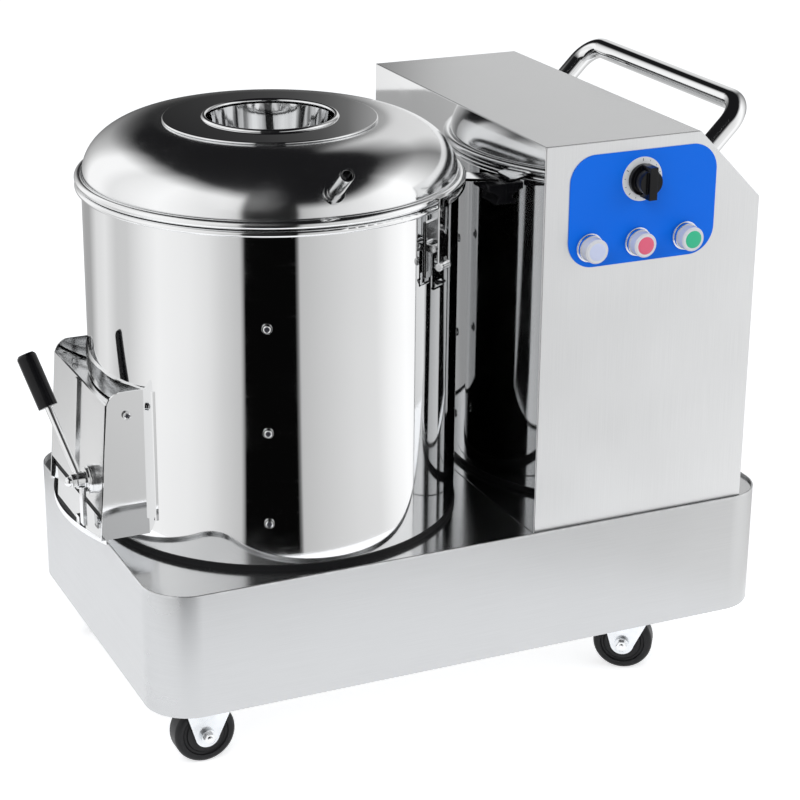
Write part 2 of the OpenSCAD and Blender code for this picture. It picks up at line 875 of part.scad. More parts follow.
module door_pivots() {
    color(bright) on_drum() for (s = sides) {
        translate([-pivot_reach, s * (cheek_half + pivot_head_thick / 2), pivot_z])
            rotate([right_angle, 0, 0])
                cylinder(r = pivot_head, h = pivot_head_thick, center = true);
        translate([-pivot_reach, s * (cheek_half + door_half - sheet * 2) / 2, pivot_z])
            rotate([right_angle, 0, 0])
                cylinder(r = pivot_shank, h = cheek_half - door_half + sheet * 2, center = true);
    }
}

module door_keeper() {
    color(steel) on_drum() {
        translate([-tray_reach + keeper_in, stud_y + catch_width, tray_z + sheet])
            cube([keeper_in * 1.5, catch_width, sheet * 4]);
    }
}

// the sloped outer skin of the door, as a side view, from one reach to another
module skin_profile(out, in) {
    polygon([[-edge_reach(door_low) - out, door_low], [-edge_reach(door_high) - out, door_high],
        [-edge_reach(door_high) + in, door_high], [-edge_reach(door_low) + in, door_low]]);
}

module door_side_profile() {
    polygon([[-edge_reach(door_low), door_low], [-edge_reach(door_high), door_high],
        [-edge_reach(door_high) + sheet, door_high],
        [-pivot_reach, pivot_z + pivot_shank * 2],
        [-pivot_reach + pivot_shank * 2, pivot_z],
        [-drum_radius + sheet * 11, plug_high],
        [-drum_radius + sheet * 11, plug_low], [-edge_reach(door_low) + sheet * 4, door_low]]);
}

// a plate that closes the hollow of the door, cut to the drum outside the opening
module door_plate(z) {
    translate([-edge_reach(z) + sheet / 2, -door_half, z - sheet])
        cube([drum_radius / 4, door_half * 2, sheet]);
}

module door_panel() {
    color(bright) on_drum() difference() {
        union() {
            difference() {
                union() {
                    rotate([right_angle, 0, 0]) linear_extrude(door_half * 2, center = true)
                        skin_profile(0, sheet);
                    for (s = sides) translate([0, s * (door_half - sheet / 2), 0])
                        rotate([right_angle, 0, 0])
                            linear_extrude(sheet, center = true) door_side_profile();
                    door_plate(plug_high);
                    door_plate(door_low + sheet * 2);
                    rotate([right_angle, 0, 0]) linear_extrude(rib_width, center = true)
                        skin_profile(rib_proud, sheet);
                }
                cylinder(r = drum_radius + gap, h = drum_edge, $fn = fine);
            }
            intersection() {
                translate([0, 0, plug_low]) ring(drum_radius + gap * 2, drum_in, plug_high - plug_low);
                translate([-drum_radius * 2, -plug_half, plug_low])
                    cube([drum_radius * 1.5, plug_half * 2, plug_high - plug_low]);
            }
            leftward(washer_radius, stud_face - sheet, sheet * 2.5, stud_y, stud_z);
        }
        for (s = sides) translate([-pivot_reach, s * door_half, pivot_z])
            rotate([right_angle, 0, 0])
                cylinder(r = pivot_shank + running_fit, h = sheet * 5, center = true);
    }
}

module door_seal() {
    color(dark) on_drum() intersection() {
        difference() {
            translate([0, 0, plug_low]) ring(drum_in - running_fit, drum_in - sheet, plug_high - plug_low);
            translate([-drum_radius, -plug_half + sheet * 3, plug_low + sheet * 3])
                cube([drum_radius / 2, (plug_half - sheet * 3) * 2, plug_high - plug_low - sheet * 6]);
        }
        translate([-drum_radius, -plug_half + sheet, plug_low])
            cube([drum_radius / 2, (plug_half - sheet) * 2, plug_high - plug_low]);
    }
    color(dark) on_drum() translate([-edge_reach(door_low) + sheet * 1.5, -door_half + sheet * 1.5,
        riser_top + gap * 2])
        cube([sheet * 3, (door_half - sheet * 1.5) * 2,
            door_low + sheet - riser_top - gap * 2 - running_fit]);
}

module lever_fasteners() {
    color(bright) on_drum() {
        leftward(washer_radius, boss_end, washer_thick * 0.45, stud_y, stud_z);
        leftward(washer_radius * 0.86, boss_end + washer_thick * 0.45, washer_thick * 0.55, stud_y, stud_z);
        leftward(stud_radius, washer_end, nut_start + nut_length / 2 - washer_end, stud_y, stud_z);
        difference() {
            union() {
                translate([-nut_start, stud_y, stud_z]) rotate([0, -right_angle, 0])
                    cylinder(r = hub_radius * 0.85, h = nut_length * 0.6, $fn = 6);
                translate([-nut_start - nut_length * 0.6, stud_y, stud_z]) rotate([0, -right_angle, 0])
                    cylinder(r = hub_radius * 0.6, h = nut_length * 0.2);
                translate([-nut_start - nut_length * 0.8, stud_y, stud_z])
                    sphere(r = hub_radius * 0.6);
            }
            leftward(stud_radius, nut_start - cut_over, nut_length / 2 + cut_over, stud_y, stud_z);
        }
    }
}

module along_lever() {
    translate([-rod_start, stud_y, stud_z]) rotate([-lever_side, 0, 0])
        rotate([0, -lever_lean, 0]) children();
}

module door_lever() {
    color(bright) on_drum() difference() {
        union() {
            leftward(hub_radius, hub_start, hub_thick, stud_y, stud_z);
            along_lever() cylinder(r = rod_radius, h = rod_length + sheet * 4);
            translate([-hub_start - sheet * 2, stud_y - catch_width / 2, stud_z - catch_length])
                cube([sheet * 2, catch_width, catch_length]);
        }
        leftward(stud_radius + running_fit, hub_start - cut_over, hub_thick + cut_over * 2, stud_y, stud_z);
        leftward(hub_radius, hub_end, nut_length * 2, stud_y, stud_z);
    }
}

module lever_grip() {
    color(dark) on_drum() along_lever() difference() {
        union() {
            translate([0, 0, rod_length]) cylinder(r = grip_radius, h = grip_length - grip_radius * 0.4);
            translate([0, 0, grip_end - grip_radius * 0.4])
                cylinder(r = grip_radius * 0.8, h = grip_radius * 0.4);
            rotate_extrude() translate([grip_radius * 0.6, grip_end - grip_radius * 0.4])
                circle(r = grip_radius * 0.4);
        }
        translate([0, 0, rod_length - cut_over]) cylinder(r = rod_radius, h = sheet * 4 + cut_over);
    }
}

// lid

function dome_point(step, inset) = [dome_centre + (dome_reach - inset) * cos(step * right_angle / dome_steps),
    dome_base + (dome_rise - inset) * sin(step * right_angle / dome_steps)];

module dome_profile() {
    polygon(concat(
        [[dome_foot, lid_flange_low]],
        [for (i = [0 : dome_steps]) dome_point(i, 0)],
        [[mouth_hole, dome_top], [mouth_hole, dome_top - lid_sheet]],
        [for (i = [dome_steps : -1 : 0]) dome_point(i, lid_sheet)],
        [[dome_foot - lid_sheet, lid_flange_low]]));
}

module inlet_frame() {
    rotate([0, 0, inlet_angle]) translate([inlet_r, 0, inlet_z])
        rotate([0, right_angle - inlet_rise, 0]) children();
}

module lid_dome() {
    color(bright) on_drum() difference() {
        rotate_extrude() {
            dome_profile();
            translate([lid_bead_ring, lid_bead_z]) circle(r = lid_bead);
            translate([spigot_in, lid_flange_low])
                square([lid_bead_ring - spigot_in, lid_sheet]);
            translate([spigot_in, rim_top - lid_sheet * 4])
                square([lid_sheet, lid_flange_low - rim_top + lid_sheet * 5]);
        }
        inlet_frame() translate([0, 0, -inlet_length]) cylinder(r = inlet_radius, h = inlet_length * 2);
    }
}

module lid_funnel() {
    color(bright) on_drum() rotate_extrude() {
        translate([mouth_hole - lid_sheet, dome_top])
            square([mouth_plate - mouth_plate_thick / 2 - mouth_hole + lid_sheet, mouth_plate_thick]);
        translate([mouth_plate - mouth_plate_thick / 2, dome_top + mouth_plate_thick / 2])
            circle(r = mouth_plate_thick / 2);
        translate([mouth_ring, mouth_top]) circle(r = mouth_lip_tube);
        polygon([[mouth_hole, mouth_top], [mouth_hole - lid_sheet, mouth_top],
            [mouth_hole - lid_sheet - mouth_taper, mouth_top - mouth_depth],
            [mouth_hole - mouth_taper, mouth_top - mouth_depth],
            [mouth_hole, dome_top - lid_sheet * 2]]);
    }
}

module lid_seal() {
    color(dark) on_drum() rotate_extrude() difference() {
        translate([drum_in - gap, lid_low])
            square([lid_bead_ring - lid_bead / 2 - drum_in + gap, seal_height]);
        translate([lid_bead_ring, lid_bead_z]) circle(r = lid_bead);
    }
}

module water_inlet() {
    color(bright) on_drum() difference() {
        union() {
            inlet_frame() difference() {
                translate([0, 0, -inlet_collar * 0.7])
                    cylinder(r = inlet_collar, h = inlet_collar * 0.7 + inlet_collar_thick);
                translate([0, 0, -inlet_length]) cylinder(r = inlet_radius, h = inlet_length * 2);
            }
        }
        rotate_extrude() polygon(concat([[0, lid_low], [dome_foot, lid_low]],
            [for (i = [0 : dome_steps]) dome_point(i, 0)], [[0, dome_top]]));
    }
    color(bright) on_drum() inlet_frame() difference() {
        translate([0, 0, -inlet_length / 3]) cylinder(r = inlet_radius, h = inlet_length * 4 / 3);
        translate([0, 0, -inlet_length]) cylinder(r = inlet_bore, h = inlet_length * 2 + cut_over);
    }
}

module interlock_tab() {
    color(bright) placed() difference() {
        translate([drum_x, drum_y, tab_z]) rotate([0, 0, tab_angle])
            translate([lid_bead_ring, -tab_width / 2, 0])
                cube([cabinet_width / 4, tab_width, tab_thick]);
        translate([drum_x, drum_y, 0]) rotate_extrude()
            translate([lid_bead_ring, lid_bead_z]) circle(r = lid_bead);
        translate([tab_end, -base_depth, tab_z - cut_over])
            cube([cabinet_width, base_depth * 2, tab_thick + cut_over * 2]);
    }
}

// latches: drawn on the right of the drum and swung round to their place

module latch_base() {
    half = latch_half + gap + latch_sheet;
    low = latch_pivot_z - latch_plate * 0.55;
    difference() {
        translate([drum_radius - sheet, -half, low]) cube([sheet + latch_sheet, half * 2, latch_plate]);
        translate([0, 0, low - cut_over])
            cylinder(r = drum_radius, h = latch_plate + cut_over * 2, $fn = fine);
    }
    for (s = sides) translate([0, s * (half - latch_sheet / 2), latch_pivot_z])
        rotate([right_angle, 0, 0]) linear_extrude(latch_sheet, center = true) {
            translate([latch_pivot_r, 0]) circle(r = latch_knuckle);
            translate([drum_radius + latch_sheet / 2, -latch_knuckle])
                square([latch_pivot_r - drum_radius - latch_sheet / 2, latch_knuckle * 2]);
        }
    translate([latch_pivot_r, 0, latch_pivot_z]) rotate([right_angle, 0, 0])
        cylinder(r = latch_pin, h = (half + latch_sheet / 2) * 2, center = true);
}

module latch_bases() {
    color(bright) on_drum() for (turn = [0, half_turn]) rotate([0, 0, latch_angle + turn]) latch_base();
}

module latch_lever() {
    face = latch_pivot_r + latch_sheet / 2;
    difference() {
        union() {
            translate([latch_pivot_r, 0, latch_pivot_z]) rotate([right_angle, 0, 0])
                cylinder(r = latch_knuckle, h = latch_half * 2, center = true);
            translate([face - latch_sheet, -latch_half, latch_pivot_z - latch_lever_length])
                cube([latch_sheet, latch_half * 2, latch_lever_length]);
            translate([face - latch_sheet, -latch_half, latch_pivot_z - latch_lever_length])
                rotate([0, right_angle / 2, 0]) translate([-latch_sheet, 0, 0])
                    cube([latch_sheet, latch_half * 2, latch_sheet * 4]);
            translate([latch_pivot_r, -latch_half / 2, claw_pivot_z - latch_pin * 2])
                cube([claw_pivot_r - latch_pivot_r, latch_half, latch_pin * 4]);
            translate([claw_pivot_r, 0, claw_pivot_z]) rotate([right_angle, 0, 0])
                cylinder(r = latch_pin, h = latch_half * 2, center = true);
            translate([claw_pivot_r, 0, claw_pivot_z]) rotate([right_angle, 0, 0])
                cylinder(r = latch_pin * 2, h = latch_half, center = true);
        }
        translate([latch_pivot_r, 0, latch_pivot_z]) rotate([right_angle, 0, 0])
            cylinder(r = latch_pin + running_fit, h = latch_half * 3, center = true);
    }
}

module latch_claw() {
    ear = latch_half / 2 - gap * 2;
    difference() {
        union() {
            for (s = sides) translate([claw_pivot_r, s * (latch_half - ear / 2), claw_pivot_z])
                rotate([right_angle, 0, 0]) cylinder(r = latch_pin * 2, h = ear, center = true);
            for (s = sides) translate([claw_in - latch_sheet / 2, s * (latch_half - ear / 2) - ear / 2,
                claw_pivot_z])
                cube([latch_sheet, ear, latch_arm]);
            translate([claw_in - latch_sheet / 2, -latch_half, claw_pivot_z + latch_pin * 4])
                cube([latch_sheet, latch_half * 2, claw_top - claw_pivot_z - latch_pin * 4]);
            translate([lid_bead_out + gap, -latch_half, claw_top - latch_sheet])
                cube([claw_in - lid_bead_out, latch_half * 2, latch_sheet]);
            translate([lid_bead_out + gap, -latch_half, claw_top - latch_sheet * 1.6])
                cube([latch_sheet / 2, latch_half * 2, latch_sheet * 1.6]);
        }
        translate([claw_pivot_r, 0, claw_pivot_z]) rotate([right_angle, 0, 0])
            cylinder(r = latch_pin + running_fit, h = latch_half * 3, center = true);
    }
}

module latch_lever_front() {
    color(bright) on_drum() rotate([0, 0, latch_angle]) latch_lever();
}

module latch_claw_front() {
    color(bright) on_drum() rotate([0, 0, latch_angle]) latch_claw();
}

module latch_lever_back() {
    color(bright) on_drum() rotate([0, 0, latch_angle + half_turn]) latch_lever();
}

module latch_claw_back() {
    color(bright) on_drum() rotate([0, 0, latch_angle + half_turn]) latch_claw();
}

// cabinet

module interlock_switch() {
    color(dark) placed() difference() {
        translate([cabinet_left - switch_depth, switch_y - switch_length / 2, switch_top - switch_height])
            cube([switch_depth, switch_length, switch_height]);
        translate([cabinet_left - switch_depth, switch_y, switch_top - switch_height])
            rotate([0, right_angle / 3, 0])
                cube([switch_depth * 0.7, switch_length * 1.2, switch_depth * 1.4], center = true);
    }
}

module cabinet_outline(inset) {
    polygon([[cabinet_left + inset, deck_top], [cabinet_left + inset, cabinet_top - inset],
        [slope_x - inset * 0.42, cabinet_top - inset], [cabinet_right - inset, slope_z - inset * 0.42],
        [cabinet_right - inset, deck_top]]);
}

module upright(depth) {
    rotate([right_angle, 0, 0]) linear_extrude(depth) children();
}

module cabinet_shell() {
    color(steel) placed() difference() {
        translate([0, cabinet_back_y, 0]) upright(cabinet_depth - sheet) difference() {
            cabinet_outline(0);
            translate([0, -cut_over]) cabinet_outline(sheet);
            translate([0, 0]) cabinet_outline(sheet);
        }
    }
}

module cabinet_front() {
    color(steel) placed() difference() {
        translate([0, cabinet_front_y + sheet, 0]) upright(sheet) cabinet_outline(0);
        frontward(motor_shaft_radius / 2 + running_fit, cabinet_front_y + sheet + cut_over,
            sheet + cut_over * 2, label_cx + dial_x, label_cz + dial_up);
        for (i = [-1 : 1]) frontward(cap_hole, cabinet_front_y + sheet + cut_over,
            sheet + cut_over * 2, label_cx + button_x + i * button_pitch, button_z);
    }
}

module cabinet_back() {
    color(steel) placed() difference() {
        translate([0, cabinet_back_y, 0]) upright(sheet) cabinet_outline(sheet);
        for (i = [0 : vent_count - 1])
            translate([cabinet_left + cabinet_width / 2 - vent_length / 2, cabinet_back_y - sheet - cut_over,
                (deck_top + cabinet_top) / 2 + i * vent_pitch])
                cube([vent_length, sheet + cut_over * 2, vent_height]);
        frontward(screw_head * 1.6, cabinet_back_y + cut_over, sheet + cut_over * 2,
            cabinet_left + cabinet_width / 2, deck_top + screw_head * 8);
    }
}

module cable_gland() {
    y0 = cabinet_back_y + sheet * 4;
    x0 = cabinet_left + cabinet_width / 2;
    z0 = deck_top + screw_head * 8;
    color(dark) placed() difference() {
        union() {
            frontward(screw_head * 1.6, y0, sheet * 9, x0, z0);
            translate([x0, cabinet_back_y + sheet * 2, z0]) rotate([right_angle, 0, 0])
                cylinder(r = screw_head * 2.2, h = sheet * 2, $fn = 6);
            frontward(screw_head * 1.9, y0, sheet * 2, x0, z0);
        }
        frontward(screw_head, y0 + cut_over, sheet * 9 + cut_over * 2, x0, z0);
    }
}

// controls

module control_label() {
    color([0.1, 0.35, 0.85]) placed() difference() {
        translate([label_cx, cabinet_front_y, label_cz]) upright(label_thick)
            rounded(label_width, label_height, label_corner);
        frontward(motor_shaft_radius / 2 + running_fit, cabinet_front_y + cut_over,
            label_thick + cut_over * 2, label_cx + dial_x, label_cz + dial_up);
        for (i = [-1 : 1]) frontward(cap_hole, cabinet_front_y + cut_over,
            label_thick + cut_over * 2, label_cx + button_x + i * button_pitch, button_z);
    }
}

module timer_dial() {
    color([0.93, 0.94, 0.95]) placed() difference() {
        frontward(dial_radius, panel_face, dial_thick, label_cx + dial_x, label_cz + dial_up);
        frontward(motor_shaft_radius / 2 + running_fit, panel_face + cut_over,
            dial_thick + cut_over * 2, label_cx + dial_x, label_cz + dial_up);
    }
}

module timer_knob() {
    face = panel_face - dial_thick - gap;
    color(dark) placed() {
        frontward(knob_radius, face, knob_skirt, label_cx + dial_x, label_cz + dial_up);
        frontward(knob_body, face, knob_depth - sheet * 2, label_cx + dial_x, label_cz + dial_up);
        translate([label_cx + dial_x - knob_bar / 2, face - knob_depth,
            label_cz + dial_up - knob_bar_length / 2])
            cube([knob_bar, knob_depth - knob_skirt + sheet / 2, knob_bar_length]);
        frontward(motor_shaft_radius / 2, cabinet_front_y + sheet * 3, cabinet_front_y + sheet * 3 - face,
            label_cx + dial_x, label_cz + dial_up);
    }
}

module button_collars() {
    color(bright) placed() for (i = [-1 : 1])
        translate([label_cx + button_x + i * button_pitch, panel_face, button_z])
            rotate([right_angle, 0, 0]) {
                ring(collar_radius, cap_hole, collar_depth * 0.45);
                translate([0, 0, collar_depth * 0.45])
                    ring(collar_radius - sheet / 2, cap_hole, collar_depth * 0.55);
            }
}

module button_cap(i) {
    placed() translate([label_cx + button_x + i * button_pitch, panel_face, button_z])
        rotate([right_angle, 0, 0]) {
            translate([0, 0, -label_thick - sheet * 2])
                cylinder(r = cap_radius, h = label_thick + sheet * 2 + collar_depth + cap_out - sheet / 2);
            translate([0, 0, collar_depth + cap_out - sheet / 2])
                cylinder(r = cap_radius - sheet / 2, h = sheet / 2);
            translate([0, 0, -label_thick - sheet * 5])
                cylinder(r = button_neck, h = sheet * 3);
        }
}

module white_button() {
    color([0.85, 0.88, 1]) button_cap(-1);
}

module red_button() {
    color([0.95, 0.35, 0.45]) button_cap(0);
}

module green_button() {
    color([0.1, 0.75, 0.55]) button_cap(1);
}

module switch_bodies() {
    deep = sheet * 20;
    back = cabinet_front_y + sheet;
    buttons_mid = label_cx + button_x;
    color(dark) placed() {
        for (i = [-1 : 1]) difference() {
            translate([buttons_mid + i * button_pitch - collar_radius, back, button_z - collar_radius])
                cube([collar_radius * 2, deep, collar_radius * 2]);
            frontward(cap_hole, back + sheet * 5 + button_travel, sheet * 5 + button_travel + cut_over,
                buttons_mid + i * button_pitch, button_z);
        }
        difference() {
            translate([label_cx + dial_x - dial_radius, back, label_cz + dial_up - dial_radius])
                cube([dial_radius * 2, deep, dial_radius * 2]);
            frontward(motor_shaft_radius / 2 + running_fit, back + sheet * 3, sheet * 3 + cut_over,
                label_cx + dial_x, label_cz + dial_up);
        }
    }
}

// push handle: drawn standing on the sloped face

module handle_half(s) {
    leg = handle_stand - handle_bend;
    bar = handle_width / 2 - handle_bend;
    translate([0, s * handle_width / 2, 0]) cylinder(r = handle_tube, h = leg);
    translate([0, s * handle_width / 2, 0]) cylinder(r = handle_flange, h = handle_flange_thick);
    translate([0, s * bar, leg]) rotate([0, -right_angle, 0])
        rotate([0, 0, s > 0 ? 0 : -right_angle]) rotate_extrude(angle = right_angle)
            translate([handle_bend, 0]) circle(r = handle_tube);
    translate([0, 0, handle_stand]) rotate([-s * right_angle, 0, 0]) cylinder(r = handle_tube, h = bar);
}

module push_handle() {
    color(bright) placed() translate([leg_slope_x, drum_y, leg_slope_z])
        rotate([0, right_angle - slope_angle, 0]) union() {
            handle_half(1);
            handle_half(-1);
        }
}

// drive

module motor_body() {
    base = deck_top;
    color([0.3, 0.33, 0.36]) placed() translate([motor_x, motor_y, 0]) difference() {
        union() {
            translate([0, 0, base]) linear_extrude(sheet * 5)
                rounded(motor_radius * 2.2, motor_radius * 2.2, screw_head * 2);
            translate([0, 0, base + sheet * 5]) cylinder(r = motor_radius, h = motor_height * 0.8);
            translate([0, 0, base + sheet * 5 + motor_height * 0.8])
                cylinder(r = motor_radius * 1.04, h = motor_height * 0.2);
            translate([-motor_radius * 0.45, motor_radius * 0.7, base + motor_height * 0.35])
                cube([motor_radius * 0.9, motor_radius * 0.6, motor_height * 0.4]);
        }
        translate([0, 0, base - cut_over])
            cylinder(r = motor_shaft_radius + running_fit, h = sheet * 15 + cut_over);
    }
}

module motor_shaft() {
    color(bright) placed() translate([motor_x, motor_y, shaft_low])
        cylinder(r = motor_shaft_radius, h = deck_top + sheet * 14 - shaft_low);
}

module pulley(outer, bore) {
    half = pulley_width / 2;
    rotate_extrude() difference() {
        translate([bore, -half]) square([outer - bore, pulley_width]);
        polygon([[outer - groove_depth, -groove_foot / 2], [outer - groove_depth, groove_foot / 2],
            [outer, groove_top / 2], [outer + cut_over, groove_top / 2],
            [outer + cut_over, -groove_top / 2], [outer, -groove_top / 2]]);
    }
}

module motor_pulley() {
    color([0.4, 0.4, 0.42]) placed() translate([motor_x, motor_y, pulley_mid])
        pulley(pulley_small, motor_shaft_radius);
}

module driven_pulley() {
    color([0.4, 0.4, 0.42]) on_drum() translate([0, 0, pulley_mid]) difference() {
        pulley(pulley_big, shaft_radius);
        for (turn = [0 : 60 : 300]) rotate([0, 0, turn]) translate([pulley_big * 0.55, 0, -pulley_width])
            cylinder(r = pulley_big * 0.18, h = pulley_width * 2);
    }
}

// an open belt: an arc round each pulley and a straight run on either side
belt_steps = 60;
belt_lean = acos((belt_big - belt_small) / drive_span);
function belt_path(out) = concat(
    [for (i = [0 : belt_steps])
        let (turn = belt_lean + (full_turn - belt_lean * 2) * i / belt_steps)
        (belt_big + out) * [cos(turn), sin(turn)]],
    [for (i = [0 : belt_steps])
        let (turn = belt_lean * (2 * i / belt_steps - 1))
        [drive_span, 0] + (belt_small + out) * [cos(turn), sin(turn)]]);

module drive_belt() {
    color(dark) on_drum() translate([0, 0, pulley_mid - belt_height / 2])
        linear_extrude(belt_height) difference() {
            polygon(belt_path(belt_thick));
            polygon(belt_path(0));
        }
}

module main_shaft() {
    color(bright) on_drum() translate([0, 0, shaft_low])
        cylinder(r = shaft_radius, h = shaft_top - shaft_low);
}

module bearing_housing() {
    color([0.45, 0.46, 0.48]) on_drum() difference() {
        union() {
            translate([0, 0, housing_low]) cylinder(r = housing_radius, h = drum_foot - housing_low);
            translate([0, 0, deck_low - sheet * 4]) cylinder(r = housing_flange, h = sheet * 4);
        }
        translate([0, 0, housing_low - cut_over])
            cylinder(r = bearing_radius, h = bearing_height + cut_over);
        translate([0, 0, drum_foot - bearing_height])
            cylinder(r = bearing_radius, h = bearing_height + cut_over);
        translate([0, 0, housing_low - cut_over])
            cylinder(r = shaft_radius * 1.3, h = drum_foot - housing_low + cut_over * 2);
    }
}

module shaft_bearings() {
    color(bright) on_drum() {
        translate([0, 0, housing_low]) ring(bearing_radius, shaft_radius + running_fit, bearing_height);
        translate([0, 0, drum_foot - bearing_height])
            ring(bearing_radius, shaft_radius + running_fit, bearing_height);
    }
}

module shaft_seal() {
    color(dark) on_drum() {
        translate([0, 0, drum_foot]) ring(shaft_radius * 1.8, shaft_radius + running_fit, drum_floor * 2);
    }
}

module peeling_disc() {
    color([0.4, 0.38, 0.36]) on_drum() difference() {
        union() {
            translate([0, 0, disc_low]) cylinder(r = disc_radius, h = disc_thick);
            translate([0, 0, hub_low]) cylinder(r = shaft_radius * 2.4, h = disc_low - hub_low);
            for (turn = [0, half_turn]) rotate([0, 0, turn]) intersection() {
                translate([disc_radius * 0.2, 0, disc_low]) rotate([0, right_angle, 0])
                    cylinder(r = disc_thick * 2.4, h = disc_radius * 0.72);
                translate([0, -disc_radius, disc_low]) cube([disc_radius, disc_radius * 2, disc_radius]);
            }
            for (turn = [0, half_turn]) rotate([0, 0, turn + right_angle])
                translate([shaft_radius * 2.2, -sheet * 2, hub_low])
                    cube([disc_radius * 0.78, sheet * 4, disc_low - hub_low]);
        }
        translate([0, 0, hub_low - cut_over])
            cylinder(r = shaft_radius, h = shaft_top - hub_low + cut_over);
    }
}

module drain_pipe() {
    run = back_reach - drain_y;
    color(steel) placed() difference() {
        union() {
            translate([drain_x, drain_y, drain_z]) cylinder(r = drain_radius, h = drum_foot - drain_z);
            translate([drain_x, drain_y, drain_z]) sphere(r = drain_radius);
            frontward(drain_radius, back_reach, run, drain_x, drain_z);
            frontward(drain_radius + sheet * 2, base_depth / 2 + sheet * 2, sheet * 2, drain_x, drain_z);
        }
        translate([drain_x, drain_y, drain_z])
            cylinder(r = drain_inner, h = drum_foot - drain_z + cut_over);
        translate([drain_x, drain_y, drain_z]) sphere(r = drain_inner);
        frontward(drain_inner, back_reach + cut_over, run + cut_over, drain_x, drain_z);
    }
}

base_skirt();
deck_plate();
bottom_plate();
caster_plates();
machine_screws();
caster_fork_fl();
caster_wheel_fl();
caster_fork_fr();
caster_wheel_fr();
caster_fork_bl();
caster_wheel_bl();
caster_fork_br();
caster_wheel_br();
drum_shell();
drum_gasket();
liner_rivets();
abrasive_liner();
discharge_spout();
door_pivots();
door_keeper();
door_panel();
door_seal();
lever_fasteners();
door_lever();
lever_grip();
lid_dome();
lid_funnel();
lid_seal();
water_inlet();
interlock_tab();
latch_bases();
latch_lever_front();
latch_claw_front();
latch_lever_back();
latch_claw_back();
interlock_switch();
cabinet_shell();
cabinet_front();
cabinet_back();
control_label();
timer_dial();
timer_knob();
button_collars();
white_button();
red_button();
green_button();
switch_bodies();
push_handle();
motor_body();
motor_shaft();
motor_pulley();
drive_belt();
driven_pulley();
main_shaft();
bearing_housing();
shaft_bearings();
shaft_seal();
peeling_disc();
drain_pipe();
cable_gland();
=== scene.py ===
"""Looks of a wheeled electric potato peeler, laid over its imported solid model."""

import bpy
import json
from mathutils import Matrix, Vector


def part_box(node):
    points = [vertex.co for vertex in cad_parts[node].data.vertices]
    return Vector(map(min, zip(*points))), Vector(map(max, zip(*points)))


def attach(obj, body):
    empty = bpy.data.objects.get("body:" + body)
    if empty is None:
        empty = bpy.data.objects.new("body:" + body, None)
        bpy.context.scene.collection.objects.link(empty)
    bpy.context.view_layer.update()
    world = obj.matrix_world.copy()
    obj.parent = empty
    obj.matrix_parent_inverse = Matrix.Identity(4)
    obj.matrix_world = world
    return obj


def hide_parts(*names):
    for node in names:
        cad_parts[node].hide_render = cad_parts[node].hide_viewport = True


bl_info = {
    "name": "Potato peeler looks",
    "version": (1, 0, 0),
    "blender": (4, 5, 0),
    "location": "3D View > Sidebar > Peeler",
    "description": "Dresses the solid model of a wheeled potato peeler with finishes and fine detail",
    "category": "Object",
}

import json
import math

import bmesh
import bpy
from mathutils import Matrix, Vector

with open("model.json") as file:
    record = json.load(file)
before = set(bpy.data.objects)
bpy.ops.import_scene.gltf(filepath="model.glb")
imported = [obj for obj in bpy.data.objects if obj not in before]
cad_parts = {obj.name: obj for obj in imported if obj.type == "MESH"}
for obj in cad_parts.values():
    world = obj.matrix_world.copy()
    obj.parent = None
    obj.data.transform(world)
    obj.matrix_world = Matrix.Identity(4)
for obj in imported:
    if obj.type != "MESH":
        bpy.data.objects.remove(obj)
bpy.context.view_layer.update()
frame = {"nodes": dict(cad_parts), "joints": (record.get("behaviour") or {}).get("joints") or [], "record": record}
NODES = frame["nodes"]
SLOT_OF = {s["node"]: s["material_slot"] for s in frame["record"]["subparts"]}
BODY_OF = {n: b for b, ns in frame["record"]["behaviour"]["bodies"].items() for n in ns}
JOINTS = {j["name"]: j for j in frame["joints"]}
CASTERS = ("fl", "fr", "bl", "br")
BUTTONS = ("white", "red", "green")
LATCH_NODES = ("latch_bases", "latch_lever_front", "latch_claw_front", "latch_lever_back", "latch_claw_back")


# Places

def low(node_name):
    """Lowest corner of a node."""
    return Vector(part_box(node_name)[0])


def high(node_name):
    """Highest corner of a node."""
    return Vector(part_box(node_name)[1])


def middle(node_name):
    """Centre of a node's box."""
    return (low(node_name) + high(node_name)) / 2


DRUM = middle("drum_gasket")
DRUM_AXIS = Vector((DRUM.x, DRUM.y, 0))
KNOB = middle("timer_dial")
FRONT = Vector((0, -1, 0))
UP = Vector((0, 0, 1))

# The camera, fitted to the photograph: its place, its three directions, and its lens
CAMERA_PLACE = Vector((-0.918503, -2.071368, 1.155815))
CAMERA_RIGHT = Vector((0.90906689, -0.41655546, 0.00888491))
CAMERA_UP = Vector((0.14079136, 0.32718557, 0.93441286))
CAMERA_AHEAD = Vector((0.39214179, 0.84819288, -0.35608097))
CAMERA_REACH = 50
FILM_WIDTH = 36.0
FOCAL_PIXELS = 2265.98
PHOTO_PIXELS = 800


def frame_along(direction, place):
    """A matrix whose Z runs along a direction, at a place."""
    turn = Vector(direction).normalized().to_track_quat("Z", "Y")
    return Matrix.Translation(Vector(place)) @ turn.to_matrix().to_4x4()


def away_from_drum(spot):
    """The level direction from the drum's axis to a spot."""
    return Vector((spot.x - DRUM.x, spot.y - DRUM.y, 0)).normalized()


def out_of_spout(spot):
    """The direction that points out of the nearer cheek of the spout."""
    return FRONT if spot.y < DRUM.y else -FRONT


# Settings

